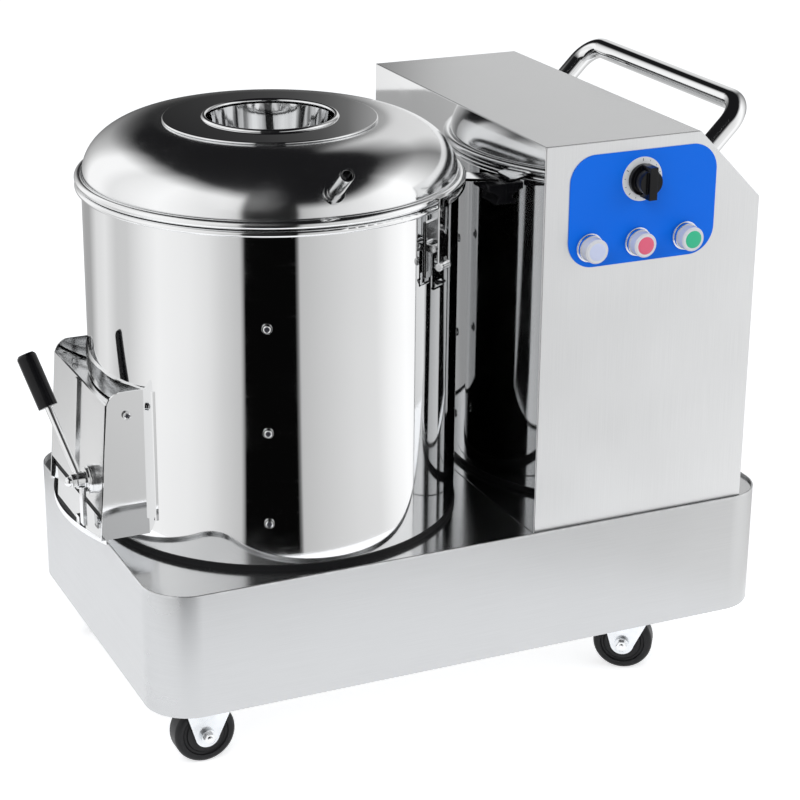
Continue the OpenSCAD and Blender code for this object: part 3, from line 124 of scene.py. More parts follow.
class PeelerFinish(bpy.types.PropertyGroup):
    """Colours and finishes of the peeler."""
    film_blue: bpy.props.FloatVectorProperty(
        name="Label film", description="Colour of the film behind the controls",
        subtype="COLOR", size=3, min=0, max=1, default=(0.002, 0.172, 0.900))
    steel: bpy.props.FloatVectorProperty(
        name="Stainless", description="Colour of the brushed stainless sheet",
        subtype="COLOR", size=3, min=0, max=1, default=(0.57, 0.575, 0.58))
    polish: bpy.props.FloatVectorProperty(
        name="Polished stainless", description="Colour of the mirror polished sheet",
        subtype="COLOR", size=3, min=0, max=1, default=(0.84, 0.845, 0.85))
    zinc: bpy.props.FloatVectorProperty(
        name="Zinc", description="Colour of the plated caster steel",
        subtype="COLOR", size=3, min=0, max=1, default=(0.78, 0.80, 0.82))
    rubber: bpy.props.FloatVectorProperty(
        name="Rubber", description="Colour of wheels, gasket and seals",
        subtype="COLOR", size=3, min=0, max=1, default=(0.007, 0.007, 0.008))
    plastic: bpy.props.FloatVectorProperty(
        name="Black plastic", description="Colour of knob, grip and switch",
        subtype="COLOR", size=3, min=0, max=1, default=(0.004, 0.004, 0.005))
    white_lens: bpy.props.FloatVectorProperty(
        name="White lens", description="Colour of the first button's lens",
        subtype="COLOR", size=3, min=0, max=1, default=(0.66, 0.71, 0.92))
    red_lens: bpy.props.FloatVectorProperty(
        name="Red lens", description="Colour of the second button's lens",
        subtype="COLOR", size=3, min=0, max=1, default=(0.86, 0.11, 0.21))
    green_lens: bpy.props.FloatVectorProperty(
        name="Green lens", description="Colour of the third button's lens",
        subtype="COLOR", size=3, min=0, max=1, default=(0.010, 0.55, 0.28))
    brushed_gloss: bpy.props.FloatProperty(
        name="Brushed roughness", description="Roughness of the brushed sheet",
        subtype="FACTOR", min=0, max=1, default=0.30)
    polish_gloss: bpy.props.FloatProperty(
        name="Polish roughness", description="Roughness of the mirror polish",
        subtype="FACTOR", min=0, max=1, default=0.035)


class PeelerSizes(bpy.types.PropertyGroup):
    """Sizes of the fine detail."""
    sheet_edge: bpy.props.FloatProperty(
        name="Sheet edge", description="Rounding of folded sheet edges",
        unit="LENGTH", min=0, default=0.0009)
    small_edge: bpy.props.FloatProperty(
        name="Small edge", description="Rounding of small turned and moulded pieces",
        unit="LENGTH", min=0, default=0.0004)
    film_edge: bpy.props.FloatProperty(
        name="Film edge", description="Rounding of the label and the dial",
        unit="LENGTH", min=0, default=0.0002)
    tick: bpy.props.FloatProperty(
        name="Dial tick", description="Size that the marks on the dial are shares of",
        unit="LENGTH", min=0, default=0.0030)


class PeelerStage(bpy.types.PropertyGroup):
    """Light and ground."""
    key_power: bpy.props.FloatProperty(
        name="Key light", description="Power of the large soft light",
        unit="POWER", min=0, default=26.0)
    fill_power: bpy.props.FloatProperty(
        name="Fill light", description="Power of the second soft light",
        unit="POWER", min=0, default=12.0)
    ground: bpy.props.FloatVectorProperty(
        name="Ground", description="Colour of the floor",
        subtype="COLOR", size=3, min=0, max=1, default=(0.86, 0.86, 0.86))


def palette():
    """The colours and finishes set in the panel."""
    return bpy.context.scene.peeler_finish


def sizes():
    """The sizes set in the panel."""
    return bpy.context.scene.peeler_sizes


# Node groups

# Each band is the stretch of a pattern over which a mask rises from nothing to full
CLOUD_BAND = (0.3, 0.7)
SMEAR_BAND = (0.52, 0.78)
HAIR_BAND = (0.66, 0.74)
WORN_AND_SHEEN_BAND = (0.4, 0.62)
DUST_BAND = (0.55, 0.8)
SPARKLE_BAND = (0.86, 0.9)
CLOUD_DRIFT = 0.10
SMEAR_ROUGHNESS = 0.055
HAIR_ROUGHNESS = 0.03
HAIR_STRETCH = (0.15, 0.15, 1.0)
# Numbers of the Mix node's sockets for its factor and two colours, and for the mixed colour
MIX_INPUTS = (0, 6, 7)
MIX_OUTPUT = 2


def new_group(name, inputs, outputs):
    """An empty shader group with named float or vector sockets."""
    group = bpy.data.node_groups.new(name, "ShaderNodeTree")
    kinds = {"f": "NodeSocketFloat", "v": "NodeSocketVector"}
    for label, kind, value in inputs:
        socket = group.interface.new_socket(label, in_out="INPUT", socket_type=kinds[kind])
        socket.default_value = value
    for label, kind in outputs:
        group.interface.new_socket(label, in_out="OUTPUT", socket_type=kinds[kind])
    start = group.nodes.new("NodeGroupInput")
    end = group.nodes.new("NodeGroupOutput")
    return group, start, end


def node(tree, kind, settings=None, **sockets):
    """A node with its settings and its plain socket values or links."""
    made = tree.nodes.new(kind)
    for key, value in (settings or {}).items():
        setattr(made, key, value)
    for key, value in sockets.items():
        put(tree, made, key.replace("_", " "), value)
    return made


def put(tree, made, key, value):
    """Sets or links an input by its name or its number."""
    socket = made.inputs[key]
    if isinstance(value, bpy.types.NodeSocket):
        tree.links.new(value, socket)
    else:
        socket.default_value = value


def maths(tree, how, a, b=0.0, clamp=False):
    """The result of a sum, product or other step with two values."""
    made = node(tree, "ShaderNodeMath", {"operation": how, "use_clamp": clamp})
    put(tree, made, 0, a)
    put(tree, made, 1, b)
    return made.outputs[0]


def vector_maths(tree, how, a, b=None):
    """The result of a step with one or two vectors."""
    made = node(tree, "ShaderNodeVectorMath", {"operation": how})
    put(tree, made, 0, a)
    if b is not None:
        put(tree, made, 1, b)
    return made.outputs["Value" if how == "LENGTH" else "Vector"]


def spread(tree, value, band, least, most):
    """Stretches a band of values over a range, and holds the ends."""
    made = node(tree, "ShaderNodeMapRange", {"clamp": True}, Value=value, From_Min=band[0],
                From_Max=band[1], To_Min=least, To_Max=most)
    return made.outputs["Result"]


def sway(tree, cloud, value, share):
    """A value that a cloudy pattern moves up and down by a share."""
    return spread(tree, cloud, CLOUD_BAND, value * (1 - share), value * (1 + share))


def noise(tree, place, scale, detail=3.0, rough=0.55):
    """A cloudy pattern."""
    made = node(tree, "ShaderNodeTexNoise", Vector=place, Scale=scale, Detail=detail, Roughness=rough)
    return made.outputs["Fac"]


def tint(tree, factor, first, second):
    """Mixes two colours by a mask."""
    made = node(tree, "ShaderNodeMix", {"data_type": "RGBA"})
    for index, value in zip(MIX_INPUTS, (factor, first, second)):
        put(tree, made, index, value)
    return made.outputs[MIX_OUTPUT]


def make_brush_group():
    """Fine lines left by a belt, with slow cloudiness."""
    group, start, end = new_group(
        "Brushed lines",
        [("Place", "v", (0, 0, 0)), ("Direction", "v", (1, 1, 1)), ("Line Scale", "f", 1200.0),
         ("Cloud Scale", "f", 9.0), ("Contrast", "f", 0.12)],
        [("Tone", "f"), ("Height", "f"), ("Cloud", "f")])
    inp = start.outputs
    stretched = vector_maths(group, "MULTIPLY", inp["Place"], inp["Direction"])
    lines = noise(group, stretched, inp["Line Scale"], detail=2.0, rough=0.6)
    cloud = noise(group, inp["Place"], inp["Cloud Scale"], detail=4.0, rough=0.5)
    swing = maths(group, "MULTIPLY", maths(group, "SUBTRACT", lines, 0.5), inp["Contrast"])
    drift = maths(group, "MULTIPLY", maths(group, "SUBTRACT", cloud, 0.5), CLOUD_DRIFT)
    tone = maths(group, "ADD", maths(group, "ADD", swing, drift), 1.0)
    for value, label in ((tone, "Tone"), (lines, "Height"), (cloud, "Cloud")):
        group.links.new(value, end.inputs[label])
    return group


def make_smudge_group():
    """Soft smears and fine hairline scratches on a polished face."""
    group, start, end = new_group(
        "Polish marks",
        [("Place", "v", (0, 0, 0)), ("Smear Scale", "f", 14.0), ("Scratch Scale", "f", 260.0),
         ("Amount", "f", 1.0)],
        [("Rough Add", "f"), ("Height", "f")])
    inp = start.outputs
    smear = noise(group, inp["Place"], inp["Smear Scale"], detail=5.0)
    smear_mask = spread(group, smear, SMEAR_BAND, 0.0, SMEAR_ROUGHNESS)
    long_way = vector_maths(group, "MULTIPLY", inp["Place"], HAIR_STRETCH)
    hair = noise(group, long_way, inp["Scratch Scale"], detail=1.0, rough=0.4)
    hair_mask = spread(group, hair, HAIR_BAND, 0.0, 1.0)
    added = maths(group, "ADD", smear_mask, maths(group, "MULTIPLY", hair_mask, HAIR_ROUGHNESS))
    for value, label in ((added, "Rough Add"), (hair_mask, "Height")):
        group.links.new(maths(group, "MULTIPLY", value, inp["Amount"]), end.inputs[label])
    return group


def make_wear_and_sheen_group():
    """A broken band at one height, lighter partly as rubbed metal and partly as a painted highlight."""
    group, start, end = new_group(
        "Worn and sheen band",
        [("Place", "v", (0, 0, 0)), ("Level", "f", 0.0), ("Width", "f", 0.01), ("Break Scale", "f", 60.0)],
        [("Mask", "f")])
    inp = start.outputs
    apart = node(group, "ShaderNodeSeparateXYZ", Vector=inp["Place"])
    off = maths(group, "ABSOLUTE", maths(group, "SUBTRACT", apart.outputs["Z"], inp["Level"]))
    near = maths(group, "SUBTRACT", 1.0, maths(group, "DIVIDE", off, inp["Width"]), clamp=True)
    patches = noise(group, inp["Place"], inp["Break Scale"], rough=0.6)
    broken = spread(group, patches, WORN_AND_SHEEN_BAND, 0.0, 1.0)
    group.links.new(maths(group, "MULTIPLY", near, broken), end.inputs["Mask"])
    return group


def make_grain_group():
    """Fine moulded grain with slow unevenness, for rubber and plastic."""
    group, start, end = new_group(
        "Moulded grain",
        [("Place", "v", (0, 0, 0)), ("Grain Scale", "f", 900.0), ("Cloud Scale", "f", 30.0)],
        [("Height", "f"), ("Cloud", "f"), ("Dust", "f")])
    inp = start.outputs
    grain = noise(group, inp["Place"], inp["Grain Scale"], detail=2.0, rough=0.5)
    cloud = noise(group, inp["Place"], inp["Cloud Scale"], detail=4.0, rough=0.6)
    dust = spread(group, cloud, DUST_BAND, 0.0, 1.0)
    for value, label in ((grain, "Height"), (cloud, "Cloud"), (dust, "Dust")):
        group.links.new(value, end.inputs[label])
    return group


def make_grit_group():
    """Sharp abrasive grains set in a binder."""
    group, start, end = new_group(
        "Bonded grit",
        [("Place", "v", (0, 0, 0)), ("Grain Size Scale", "f", 420.0)],
        [("Height", "f"), ("Sparkle", "f")])
    inp = start.outputs
    cells = node(group, "ShaderNodeTexVoronoi", {"feature": "F1"}, Vector=inp["Place"],
                 Scale=inp["Grain Size Scale"])
    hills = maths(group, "SUBTRACT", 1.0, cells.outputs["Distance"])
    shade = node(group, "ShaderNodeSeparateColor", Color=cells.outputs["Color"])
    sparkle = spread(group, shade.outputs["Red"], SPARKLE_BAND, 0.0, 1.0)
    group.links.new(hills, end.inputs["Height"])
    group.links.new(sparkle, end.inputs["Sparkle"])
    return group


GROUPS = {}


def groups():
    """The shared groups, made once."""
    if not GROUPS:
        GROUPS["brush"] = make_brush_group()
        GROUPS["polish"] = make_smudge_group()
        GROUPS["wear_and_sheen"] = make_wear_and_sheen_group()
        GROUPS["grain"] = make_grain_group()
        GROUPS["grit"] = make_grit_group()
    return GROUPS


# Finishes

# How fast brushed lines change along each axis: slowly along the stroke and fast across it
SLOW = 0.012
LEVEL_STROKE = (SLOW, SLOW, 1.0)
LENGTHWISE_STROKE = (SLOW, 1.0, SLOW)
UPRIGHT_STROKE = (1.0, SLOW, SLOW)
TURNED_STROKE = (0.05, 0.05, 1.0)
# The lighter top edge of the skirt: partly rubbed wear, partly a painted highlight on the bend
WORN_AND_SHEEN_WIDTH = 0.0035
WORN_AND_SHEEN_LIGHTER = 1.22
# Colours of small and hidden parts
GRIT_GREY = (0.14, 0.14, 0.145)
GRIT_SPARKLE = (0.6, 0.6, 0.62)
PLAIN_WHITE = (0.82, 0.83, 0.84)
RIM_WHITE = (0.78, 0.78, 0.80)
# Dark print on the dial, used too as painted shade in the fastener sockets
DARK_PRINT_AND_SHADE = (0.02, 0.02, 0.03)
MOTOR_PAINT = (0.10, 0.12, 0.15)
TURNED_STEEL = (0.62, 0.63, 0.64)
IRON_GREY = (0.20, 0.20, 0.21)
DUST_PALER = 0.10
POLISH_CLOUD_SCALE = 6.0
# Finishes of single nodes, and of all others by their material slot
NODE_FINISH = {
    "deck_plate": "deck", "cabinet_front": "front", "cabinet_back": "top", "cabinet_shell": "polish",
    "push_handle": "polish", "base_skirt": "skirt", "bottom_plate": "top", "drain_pipe": "turned",
    "liner_rivets": "bright", "button_collars": "bright", "door_lever": "bright",
    "lever_fasteners": "bright", "door_panel": "door", "water_inlet": "soft_polish",
    "latch_bases": "soft_polish", "white_button": "rim", "red_button": "rim", "green_button": "rim",
    "drum_gasket": "rubber"}
SLOT_FINISH = {
    "brushed_stainless": "skirt", "polished_stainless": "polish", "zinc_steel": "zinc",
    "black_rubber": "rubber", "wheel_rubber": "tyre", "bonded_grit": "grit", "black_plastic": "plastic",
    "blue_film": "film", "white_plastic": "white", "red_plastic": "lens_red",
    "green_plastic": "lens_green", "motor_metal": "motor", "machined_steel": "turned",
    "pulley_iron": "iron", "bearing_steel": "bright"}


def lighter(colour, share):
    """A colour times a share, held at white."""
    return tuple(min(1, part * share) for part in colour[:3])


def opaque(colour):
    """A colour with its alpha."""
    return (*colour[:3], 1)


def start_material(name, **constants):
    """A material with its own Principled shader and an Object place."""
    made = bpy.data.materials.new(name)
    made.use_nodes = True
    tree = made.node_tree
    shader = tree.nodes["Principled BSDF"]
    for key, value in constants.items():
        put(tree, shader, key.replace("_", " "), value)
    place = tree.nodes.new("ShaderNodeTexCoord").outputs["Object"]
    return made, tree, shader, place


def add_group(tree, which, place, **values):
    """A shared group at a place, with its values."""
    return node(tree, "ShaderNodeGroup", {"node_tree": groups()[which]}, Place=place, **values)


def add_bump(tree, shader, height, strength, distance):
    """Relief from a height, with its distance in metres."""
    bump = node(tree, "ShaderNodeBump", Height=height, Strength=strength, Distance=distance)
    tree.links.new(bump.outputs["Normal"], shader.inputs["Normal"])


def scaled_colour(tree, colour, tone):
    """A colour made lighter and darker by a tone about one."""
    made = node(tree, "ShaderNodeVectorMath", {"operation": "SCALE"}, Scale=tone)
    put(tree, made, 0, colour[:3])
    return made.outputs["Vector"]


def brushed_sheet(name, colour, roughness, stroke, worn_and_sheen_level=None):
    """Brushed stainless, with a lighter band at a level where one is given: partly rubbed wear, partly a painted
    highlight.
    """
    made, tree, shader, place = start_material(name, Metallic=1.0)
    lines = add_group(tree, "brush", place, Direction=stroke)
    base = scaled_colour(tree, colour, lines.outputs["Tone"])
    if worn_and_sheen_level is not None:
        # The band is painted lighter: partly wear on the edge, partly a painted highlight where the sheet bends
        band = add_group(tree, "wear_and_sheen", place, Level=worn_and_sheen_level, Width=WORN_AND_SHEEN_WIDTH)
        base = tint(tree, band.outputs["Mask"], base, opaque(lighter(colour, WORN_AND_SHEEN_LIGHTER)))
    tree.links.new(base, shader.inputs["Base Color"])
    tree.links.new(sway(tree, lines.outputs["Cloud"], roughness, share=0.12), shader.inputs["Roughness"])
    add_bump(tree, shader, lines.outputs["Height"], strength=0.10, distance=0.00008)
    return made


def lay_polish(tree, shader, place, colour, roughness, amount, drift):
    """Colour and roughness of a polished face; gives the group of its marks."""
    marks = add_group(tree, "polish", place, Amount=amount)
    tree.links.new(maths(tree, "ADD", marks.outputs["Rough Add"], roughness), shader.inputs["Roughness"])
    tone = sway(tree, noise(tree, place, POLISH_CLOUD_SCALE, detail=2.0), 1.0, drift)
    tree.links.new(scaled_colour(tree, colour, tone), shader.inputs["Base Color"])
    return marks


def polished_sheet(name, colour, roughness, amount=1.0):
    """Polished stainless with faint smears and hairlines."""
    made, tree, shader, place = start_material(name, Metallic=1.0)
    marks = lay_polish(tree, shader, place, colour, roughness, amount, drift=0.015)
    add_bump(tree, shader, marks.outputs["Height"], strength=0.02, distance=0.00002)
    return made


def about_drum(tree, place):
    """A place measured from the foot of the drum's axis."""
    return vector_maths(tree, "SUBTRACT", place, tuple(DRUM_AXIS))


def spun_sheet(name, colour, roughness, stretch):
    """Sheet polished on a spinning form, so that its highlights run in and out from the drum's axis."""
    made, tree, shader, place = start_material(name, Metallic=1.0, Anisotropic=stretch)
    lay_polish(tree, shader, place, colour, roughness, amount=1.0, drift=0.03)
    outward = vector_maths(tree, "MULTIPLY", about_drum(tree, place), (1, 1, 0))
    tree.links.new(vector_maths(tree, "NORMALIZE", outward), shader.inputs["Tangent"])
    return made


def moulded(name, colour, roughness, scale, strength, dust=0.0, coat=0.0, shine=0.5):
    """Rubber or plastic with a moulded grain and a little dust."""
    made, tree, shader, place = start_material(
        name, Coat_Weight=coat, Coat_Roughness=0.08, Specular_IOR_Level=shine)
    grain = add_group(tree, "grain", place, Grain_Scale=scale)
    pale = tuple(min(1, part + DUST_PALER) for part in colour[:3])
    mask = maths(tree, "MULTIPLY", grain.outputs["Dust"], dust)
    tree.links.new(tint(tree, mask, opaque(colour), opaque(pale)), shader.inputs["Base Color"])
    tree.links.new(sway(tree, grain.outputs["Cloud"], roughness, share=0.15), shader.inputs["Roughness"])
    add_bump(tree, shader, grain.outputs["Height"], strength, distance=0.0002)
    return made


def gritty(name, colour, glint):
    """Abrasive grains in a binder, some of them catching the light."""
    made, tree, shader, place = start_material(name, Roughness=0.85, Metallic=0.1)
    grit = add_group(tree, "grit", place)
    speckled = tint(tree, grit.outputs["Sparkle"], opaque(colour), opaque(glint))
    tree.links.new(speckled, shader.inputs["Base Color"])
    add_bump(tree, shader, grit.outputs["Height"], strength=0.9, distance=0.0012)
    return made


def cast_metal(name, colour, roughness, metallic):
    """Plated, painted or cast metal with a fine uneven skin."""
    made, tree, shader, place = start_material(name, Metallic=metallic)
    grain = add_group(tree, "grain", place, Grain_Scale=420.0)
    cloud = grain.outputs["Cloud"]
    tone = sway(tree, cloud, 1.0, share=0.15)
    tree.links.new(scaled_colour(tree, colour, tone), shader.inputs["Base Color"])
    tree.links.new(sway(tree, cloud, roughness, share=0.10), shader.inputs["Roughness"])
    add_bump(tree, shader, grain.outputs["Height"], strength=0.25, distance=0.0003)
    return made


FINISHES = {}


def finishes():
    """One material for each finish, made once."""
    if not FINISHES:
        make_sheet_finishes(FINISHES)
        make_other_finishes(FINISHES)
    return FINISHES


def make_sheet_finishes(made):
    """The brushed, polished, turned and cast metals."""
    look = palette()
    steel, polish = tuple(look.steel), tuple(look.polish)
    # The skirt's top edge gets the band of wear and painted highlight
    made["skirt"] = brushed_sheet("Brushed skirt", steel, look.brushed_gloss, LEVEL_STROKE,
                                  worn_and_sheen_level=high("base_skirt").z)
    made["deck"] = brushed_sheet("Brushed deck", lighter(steel, 1.12), 0.16, stroke=LENGTHWISE_STROKE)
    # The cabinet front is the skirt's stainless painted a third lighter: a lit copy of the same steel
    made["front"] = brushed_sheet("Brushed front painted lighter", lighter(steel, 1.33), 0.34, stroke=UPRIGHT_STROKE)
    made["top"] = brushed_sheet("Satin cabinet", lighter(steel, 1.1), 0.20, stroke=LENGTHWISE_STROKE)
    made["turned"] = brushed_sheet("Turned steel", TURNED_STEEL, 0.24, stroke=TURNED_STROKE)
    made["polish"] = polished_sheet("Mirror polish", polish, look.polish_gloss)
    made["bright"] = polished_sheet("Bright turned steel", polish, roughness=0.09, amount=1.4)
    made["lid"] = spun_sheet("Spun lid", polish, roughness=0.13, stretch=0.75)
    made["door"] = polished_sheet("Door polish", polish, roughness=0.17, amount=1.3)
    made["soft_polish"] = polished_sheet("Soft polish", lighter(polish, 0.97), roughness=0.11, amount=1.2)
    made["zinc"] = cast_metal("Zinc plate", tuple(look.zinc), roughness=0.26, metallic=1.0)
    made["motor"] = cast_metal("Motor paint", MOTOR_PAINT, roughness=0.5, metallic=0.2)
    made["iron"] = cast_metal("Grey iron", IRON_GREY, roughness=0.5, metallic=0.8)


def make_other_finishes(made):
    """Rubber, plastic, film, print and bonded grit."""
    look = palette()
    rubber = tuple(look.rubber)
    made["rubber"] = moulded("Soft rubber", rubber, roughness=0.55, scale=1400.0, strength=0.15, dust=0.04,
                             shine=0.2)
    made["tyre"] = moulded("Wheel rubber", rubber, roughness=0.42, scale=1100.0, strength=0.18, dust=0.10,
                           shine=0.3)
    made["grit"] = gritty("Bonded grit", GRIT_GREY, GRIT_SPARKLE)
    made["plastic"] = moulded("Black plastic", tuple(look.plastic), roughness=0.20, scale=1600.0,
                              strength=0.05, dust=0.03, shine=0.25)
    made["film"] = moulded("Label film", tuple(look.film_blue), roughness=0.42, scale=2200.0, strength=0.05,
                           shine=0.10)
    made["white"] = moulded("White plastic", PLAIN_WHITE, roughness=0.28, scale=1800.0, strength=0.05,
                            coat=0.3)
    made["rim"] = moulded("Pale button rim", RIM_WHITE, roughness=0.25, scale=1800.0, strength=0.05,
                          coat=0.4)
    for colour, value in zip(BUTTONS, (look.white_lens, look.red_lens, look.green_lens)):
        made["lens_" + colour] = moulded(colour.capitalize() + " lens", tuple(value), roughness=0.30,
                                         scale=1500.0, strength=0.06, dust=0.05, coat=0.4)
    # Dark print for the dial marks, and painted shade for the fastener sockets
    made["ink"] = moulded("Dark print and painted shade", DARK_PRINT_AND_SHADE, roughness=0.5, scale=1800.0, strength=0.04)


def finish_of(node_name):
    """The finish that a node wears."""
    return finishes()[NODE_FINISH.get(node_name, SLOT_FINISH[SLOT_OF[node_name]])]


def wear_finish(*node_names):
    """Puts the finish on CAD nodes that stay as they are."""
    for name in node_names:
        slots = NODES[name].data.materials
        slots.clear()
        slots.append(finish_of(name))


# Making pieces

# Distances in metres and angles in degrees
CAD_MERGE = 2e-6
TURNED_MERGE = 1e-6
FLAT_ANGLE = 0.4
SHARP_ANGLE = 35.0
BEVEL_STEPS = 2
FLAT_FACE_WEIGHT = 60
ROUND_STEPS = 96
# Edges that turn by more than this are rounded: on most pieces, on folded sheet, on tubes and turned pieces
CORNER = 38.0
FOLD_CORNER = 50.0
TUBE_CORNER = 60.0
# How round the edges of a node are, as shares of the sheet edge or of the small edge
SHEET_EDGE_SHARES = {"base_skirt": 1.0, "deck_plate": 0.4, "discharge_spout": 0.6, "door_panel": 0.6,
                     "cabinet_shell": 1.0, "cabinet_front": 1.0, "cabinet_back": 1.0}
SMALL_EDGE_SHARES = {"liner_rivets": 0.5, "door_pivots": 0.6, "lever_fasteners": 0.7, "door_lever": 0.5,
                     "lever_grip": 0.5, "water_inlet": 0.6, "interlock_switch": 2.0, "timer_knob": 2.0,
                     "button_collars": 1.6, **{name: 0.6 for name in LATCH_NODES},
                     **{"caster_wheel_" + corner: 1.5 for corner in CASTERS},
                     **{colour + "_button": 2.5 for colour in BUTTONS}}


def edge_of(node_name):
    """How round a node's edges are."""
    if node_name in ("control_label", "timer_dial"):
        return sizes().film_edge
    if node_name in SHEET_EDGE_SHARES:
        return sizes().sheet_edge * SHEET_EDGE_SHARES[node_name]
    return sizes().small_edge * SMALL_EDGE_SHARES.get(node_name, 1.0)


def mesh_object(name, work, material):
    """Turns a bmesh into an object of the scene."""
    mesh = bpy.data.meshes.new(name)
    work.to_mesh(mesh)
    work.free()
    mesh.materials.append(material)
    made = bpy.data.objects.new(name, mesh)
    bpy.context.scene.collection.objects.link(made)
    return made


def finish_mesh(name, work, material, body):
    """Turns a bmesh into a piece that rides on a body."""
    piece = mesh_object(name, work, material)
    piece.data.shade_smooth()
    piece.data.set_sharp_from_angle(angle=math.radians(SHARP_ANGLE))
    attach(piece, body)
    return piece


def weigh_normals(piece):
    """Flat faces keep flat shading beside their rounded edges."""
    step = piece.modifiers.new("Even shading", "WEIGHTED_NORMAL")
    step.keep_sharp = True
    step.weight = FLAT_FACE_WEIGHT


def merged_copy(node_name):
    """A bmesh copy of a node with its loose triangles joined and flat areas made whole."""
    work = bmesh.new()
    work.from_mesh(NODES[node_name].data)
    bmesh.ops.remove_doubles(work, verts=work.verts, dist=CAD_MERGE)
    bmesh.ops.dissolve_limit(work, angle_limit=math.radians(FLAT_ANGLE), verts=work.verts, edges=work.edges,
                             use_dissolve_boundaries=False)
    return work


def round_edges(work, edges, width):
    """Rounds edges of a bmesh."""
    bmesh.ops.bevel(work, geom=edges, offset=width, offset_type="OFFSET", segments=BEVEL_STEPS, profile=0.5,
                    affect="EDGES", clamp_overlap=True, material=-1)


def skin(node_name, work):
    """A piece with the node's own finish that stands for the node."""
    piece = finish_mesh(node_name + "_skin", work, finish_of(node_name), BODY_OF[node_name])
    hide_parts(node_name)
    return piece


def soften(node_name, corner=CORNER):
    """Replaces a node by a copy with its edges rounded."""
    work = merged_copy(node_name)
    edges = [e for e in work.edges if e.is_manifold and e.calc_face_angle(0) > math.radians(corner)]
    round_edges(work, edges, edge_of(node_name))
    piece = skin(node_name, work)
    weigh_normals(piece)
    return piece


def revolve(points, place, direction=UP, steps=ROUND_STEPS, closed=False):
    """A bmesh turned from (radius, height) points about an axis."""
    work = bmesh.new()
    verts = [work.verts.new((r, 0, h)) for r, h in points]
    pairs = list(zip(verts, verts[1:])) + ([(verts[-1], verts[0])] if closed else [])
    edges = [work.edges.new(p) for p in pairs]
    bmesh.ops.spin(work, geom=verts + edges, cent=(0, 0, 0), axis=(0, 0, 1), dvec=(0, 0, 0),
                   angle=math.tau, steps=steps, use_merge=True, use_duplicate=False)
    bmesh.ops.remove_doubles(work, verts=work.verts, dist=TURNED_MERGE)
    bmesh.ops.recalc_face_normals(work, faces=work.faces)
    bmesh.ops.transform(work, matrix=frame_along(direction, place), verts=work.verts)
    return work


def arc(centre, radius, first, last, steps):
    """Points of an arc for a turned outline; angles in degrees."""
    turns = [math.radians(first + (last - first) * i / steps) for i in range(steps + 1)]
    return [(centre[0] + radius * math.cos(a), centre[1] + radius * math.sin(a)) for a in turns]


def torus(place, direction, radius, tube, steps, around):
    """A ring of round section."""
    section = arc((radius, 0), tube, 0, 360 - 360 / around, around - 1)
    return revolve(section, place, direction, steps, closed=True)


def stud(radius, height, chamfer, sink):
    """Half section of a chamfered stud that starts a little under its face."""
    return [(0, height), (radius - chamfer, height), (radius, height - chamfer), (radius, -sink)]


def join(first, *others):
    """Adds bmeshes to the first one."""
    for other in others:
        mesh = bpy.data.meshes.new("Joining")
        other.to_mesh(mesh)
        other.free()
        first.from_mesh(mesh)
        bpy.data.meshes.remove(mesh)
    return first


def bar(size, place, turn, edge):
    """A small block with rounded edges."""
    work = bmesh.new()
    bmesh.ops.create_cube(work, size=1.0)
    bmesh.ops.scale(work, vec=size, verts=work.verts)
    round_edges(work, work.edges[:], edge)
    bmesh.ops.transform(work, matrix=Matrix.Translation(Vector(place)) @ turn, verts=work.verts)
    return work


# Stage

WHITE = (1, 1, 1, 1)
BLACK = (0, 0, 0, 1)
SKY_FILL = (0.92, 0.95, 1.0, 1)
SKY_FILL_POWER = 0.55
FLOOR_HALF = 12.0
FLOOR_GLOW = 0.62
FLOOR_CLOUD_SCALE = 1.5
LIGHT_TARGET = (0, 0, 0.3)
KEY_PLACE = (-1.6, -1.9, 2.4)
KEY_SIZE = (1.8, 1.4)
FILL_PLACE = (2.2, -1.5, 1.6)
FILL_SIZE = (1.4, 1.4)
# The walls that polished steel mirrors, as a dome and a ring of floor about the drum
STUDIO_RADIUS = 2.6
STUDIO_GAP = 0.66
STUDIO_LIFT = 0.002
DOME_STEPS = 18
OVERHEAD = (0.011, 0.011, 0.012, 1)
OVERHEAD_BLUR = 0.13
MIRROR_SHARE = 0.84
# How bright the studio round the machine looks in polished steel: compass degrees and display grey
ROUND_FLOOR = (
    (-180, 238), (-160, 232), (-148, 222), (-140, 206), (-130, 190), (-128.4, 186), (-127.2, 6),
    (-97.4, 6), (-96.2, 186), (-84, 198), (-64, 214), (-50, 220), (-40, 240), (-28, 254), (-15, 246),
    (10, 200), (60, 190), (100, 158), (110, 160), (122, 214), (134, 224), (146, 198), (156, 200),
    (170, 226), (180, 238))
ROUND_SKY = (
    (-180, 246), (-160, 234), (-142, 220), (-130, 205), (-127, 40), (-97, 30), (-95, 180), (-80, 210),
    (-55, 228), (-36, 246), (-20, 254), (0, 214), (12, 180), (30, 120), (46, 214), (60, 206), (65, 90),
    (76, 84), (88, 150), (100, 190), (112, 244), (128, 244), (142, 226), (160, 236), (180, 246))
# How high the bright part reaches before the dark overhead begins: compass degrees and degrees
SKY_EDGE = (
    (-180, 62), (-150, 60), (-125, 54), (-96, 34), (-84, 34), (-66, 38), (-43, 47), (-16, 54), (6, 54),
    (30, 50), (48, 46), (61, 43), (68, 26), (76, 21), (85, 27), (95, 36), (105, 46), (125, 55),
    (155, 62), (180, 62))


class PEELER_OT_stage(bpy.types.Operator):
    """Camera, soft lights, pale floor and the studio walls that polished steel mirrors"""
    bl_idname = "peeler.stage"
    bl_label = "Stage"

    def execute(self, context):
        set_camera()
        set_world()
        set_floor()
        set_lights()
        set_surround()
        return {"FINISHED"}


